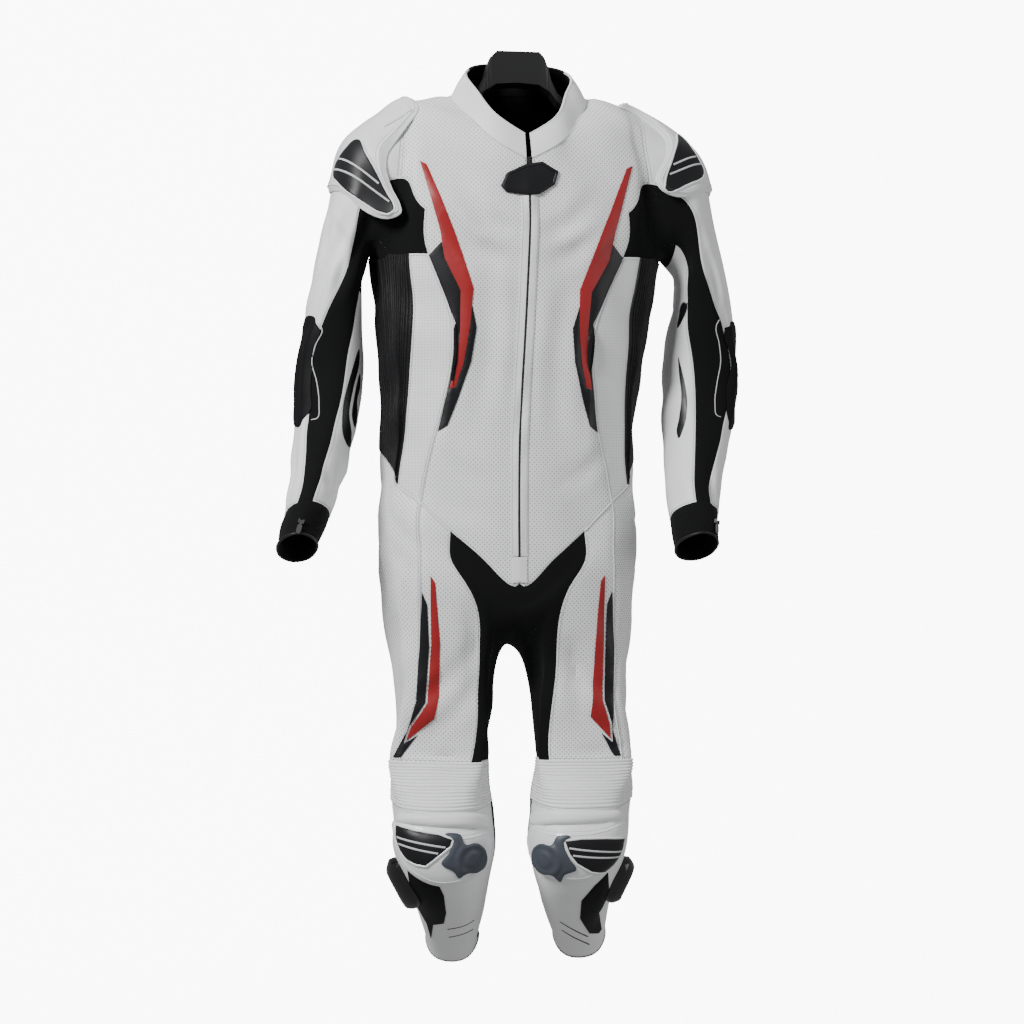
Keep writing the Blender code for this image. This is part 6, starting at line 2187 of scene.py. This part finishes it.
for tag in sorted(panel_faces):
    if stem_of(tag) in LIGHT:
        cords("stitches_" + tag, seam_rows(tag), "thread")
placket_rows = [stitch for line in stitch_lines for stitch in stitch_row(*line)]
cords("stitches_placket", placket_rows, "thread")
print("stitches on the plackets", len(placket_rows))


# %% [markdown]
# The seams of the hips and thighs are piped with a cord of white leather, and the hems
# of the legs and cuffs are bound in black. Which edges of the net are such seams follows
# from the panels on either side, so no line has to be drawn for them.

# %% Piping and hems
PIPED = {frozenset(pair) for pair in (
    ("front_panel", "leg_front"), ("front_panel", "leg_side"), ("leg_front", "leg_side"),
    ("side_strip", "leg_side"), ("side_strip", "front_panel"),
    ("side_strip", "leg_front"), ("leg_side", "back_panel"))}
PIPING, PIPING_SINK, SHORTEST_PIPE = (1.3, 1.1), 0.2, 3
HEM, SHORTEST_LOOP, HEMS_BELOW = (1.9, 1.7), 12, -640.0
shared = {}
for face, tag in zip(faces, tags):
    for a, b in zip(face, np.roll(face, -1)):
        shared.setdefault((int(min(a, b)), int(max(a, b))), []).append(tag)
seams = [edge for edge, owners in shared.items()
         if len(owners) == 2 and frozenset(stem_of(o) for o in owners) in PIPED]
piped = [cord_mesh(points[line] - normals[line] * PIPING_SINK, normals[line], *PIPING)
         for line in chains(seams) if len(line) > SHORTEST_PIPE]
cords("piping", piped, "white")
hems = [line[:-1] for line in chains(rim_of(faces)) if len(line) > SHORTEST_LOOP
        and points[line][:, 2].mean() < HEMS_BELOW]
cords("hem_binding", [cord_mesh(points[line] - normals[line], normals[line], *HEM, True)
                      for line in hems], "black")
print("piping", len(piped), "hems", len(hems))


# %% [markdown]
# The camera is at the stand, level with the waist and a little to the wearer's right. A
# long lens keeps the suit free of distortion. The light is that of a pale studio: a broad
# lamp at the left of the picture, a weaker one at its right and one above and behind.

# %% Camera and lamps
LAMPS = (               # name, place, aim, size in metres, watts
    ("key", (-2.4, -1.9, 1.3), (0, 0, -0.6), 1.0, 165),
    ("fill", (2.6, -1.9, -0.2), (0, 0, -0.7), 1.8, 22),
    ("top", (0.2, 0.9, 2.0), (0, 0, -0.5), 1.6, 16))
LENS, SENSOR = 80.4, 36.0


def aimed(name, data, place, aim):
    """A camera or lamp that looks at a point."""
    made = bpy.data.objects.new(name, data)
    made.location = place
    made.rotation_euler = (Vector(aim) - Vector(place)).to_track_quat("-Z", "Y").to_euler()
    bpy.context.collection.objects.link(made)
    return made


camera_data = bpy.data.cameras.new("camera")
camera_data.lens, camera_data.sensor_width = LENS, SENSOR
bpy.context.scene.camera = aimed("camera", camera_data, STAND * MM, STAND_AIM * MM)
for name, place, aim, size, power in LAMPS:
    lamp_data = bpy.data.lights.new(name, "AREA")
    lamp_data.shape, lamp_data.size, lamp_data.energy = "SQUARE", size, power
    aimed(name, lamp_data, place, aim)
print("lamps", [row[0] for row in LAMPS])


# %% [markdown]
# A studio hangs up a roll of paper that bends from the floor into the wall, so that no
# edge shows. It glows here, which makes the ground white without flooding the
# suit with light, because it is hidden from diffuse and glossy rays.

# %% World and paper
WORLD_LIGHT, PAPER_GLOW, PAPER_TONE = 0.36, 9.0, (0.95, 0.95, 0.95)
FLOOR_Z, FLOOR_HALF, WALL_Y, BEND, BEND_STEPS = -1.75, 6.0, 3.0, 1.2, 12
world = bpy.data.worlds.new("studio")
bpy.context.scene.world = world
world.use_nodes = True
background = world.node_tree.nodes["Background"]
background.inputs["Color"].default_value = (1.0, 1.0, 1.0, 1.0)
background.inputs["Strength"].default_value = WORLD_LIGHT

profile = [(-FLOOR_HALF, FLOOR_Z)]
profile += [(WALL_Y - BEND + BEND * math.sin(a), FLOOR_Z + BEND - BEND * math.cos(a))
            for a in np.linspace(0, math.pi / 2, BEND_STEPS)]
profile.append((WALL_Y, FLOOR_HALF))
backdrop_mesh = bpy.data.meshes.new("backdrop")
backdrop_mesh.from_pydata([(x, y, z) for y, z in profile for x in (-FLOOR_HALF, FLOOR_HALF)],
                          [], [(2 * k, 2 * k + 1, 2 * k + 3, 2 * k + 2)
                               for k in range(len(profile) - 1)])
backdrop_mesh.shade_smooth()
paper, paper_shader, _, _ = nodes_of("paper", PAPER_TONE, 0.95)
paper_shader.inputs["Emission Color"].default_value = (1.0, 1.0, 1.0, 1.0)
paper_shader.inputs["Emission Strength"].default_value = PAPER_GLOW
backdrop_mesh.materials.append(paper)
backdrop = bpy.data.objects.new("backdrop", backdrop_mesh)
bpy.context.collection.objects.link(backdrop)
backdrop.visible_diffuse = backdrop.visible_glossy = False
print("paper strips", len(backdrop_mesh.polygons))


# %% [markdown] A few small rigid parts keep their CAD mesh: the cuff zips' sliders and
# pull tabs, the hanger and the tape of the main zip. They only take a finish.

# %% Finishes of the CAD pieces, and the end
for node, look in (("cuff_slider_l", "metal"), ("cuff_slider_r", "metal"),
                   ("cuff_pull_l", "metal"), ("cuff_pull_r", "metal"),
                   ("hanger", "hanger"), ("main_zip", "tape")):
    frame["nodes"][node].data.materials.clear()
    frame["nodes"][node].data.materials.append(FINISHES[look])
print("cuts", CUTS)
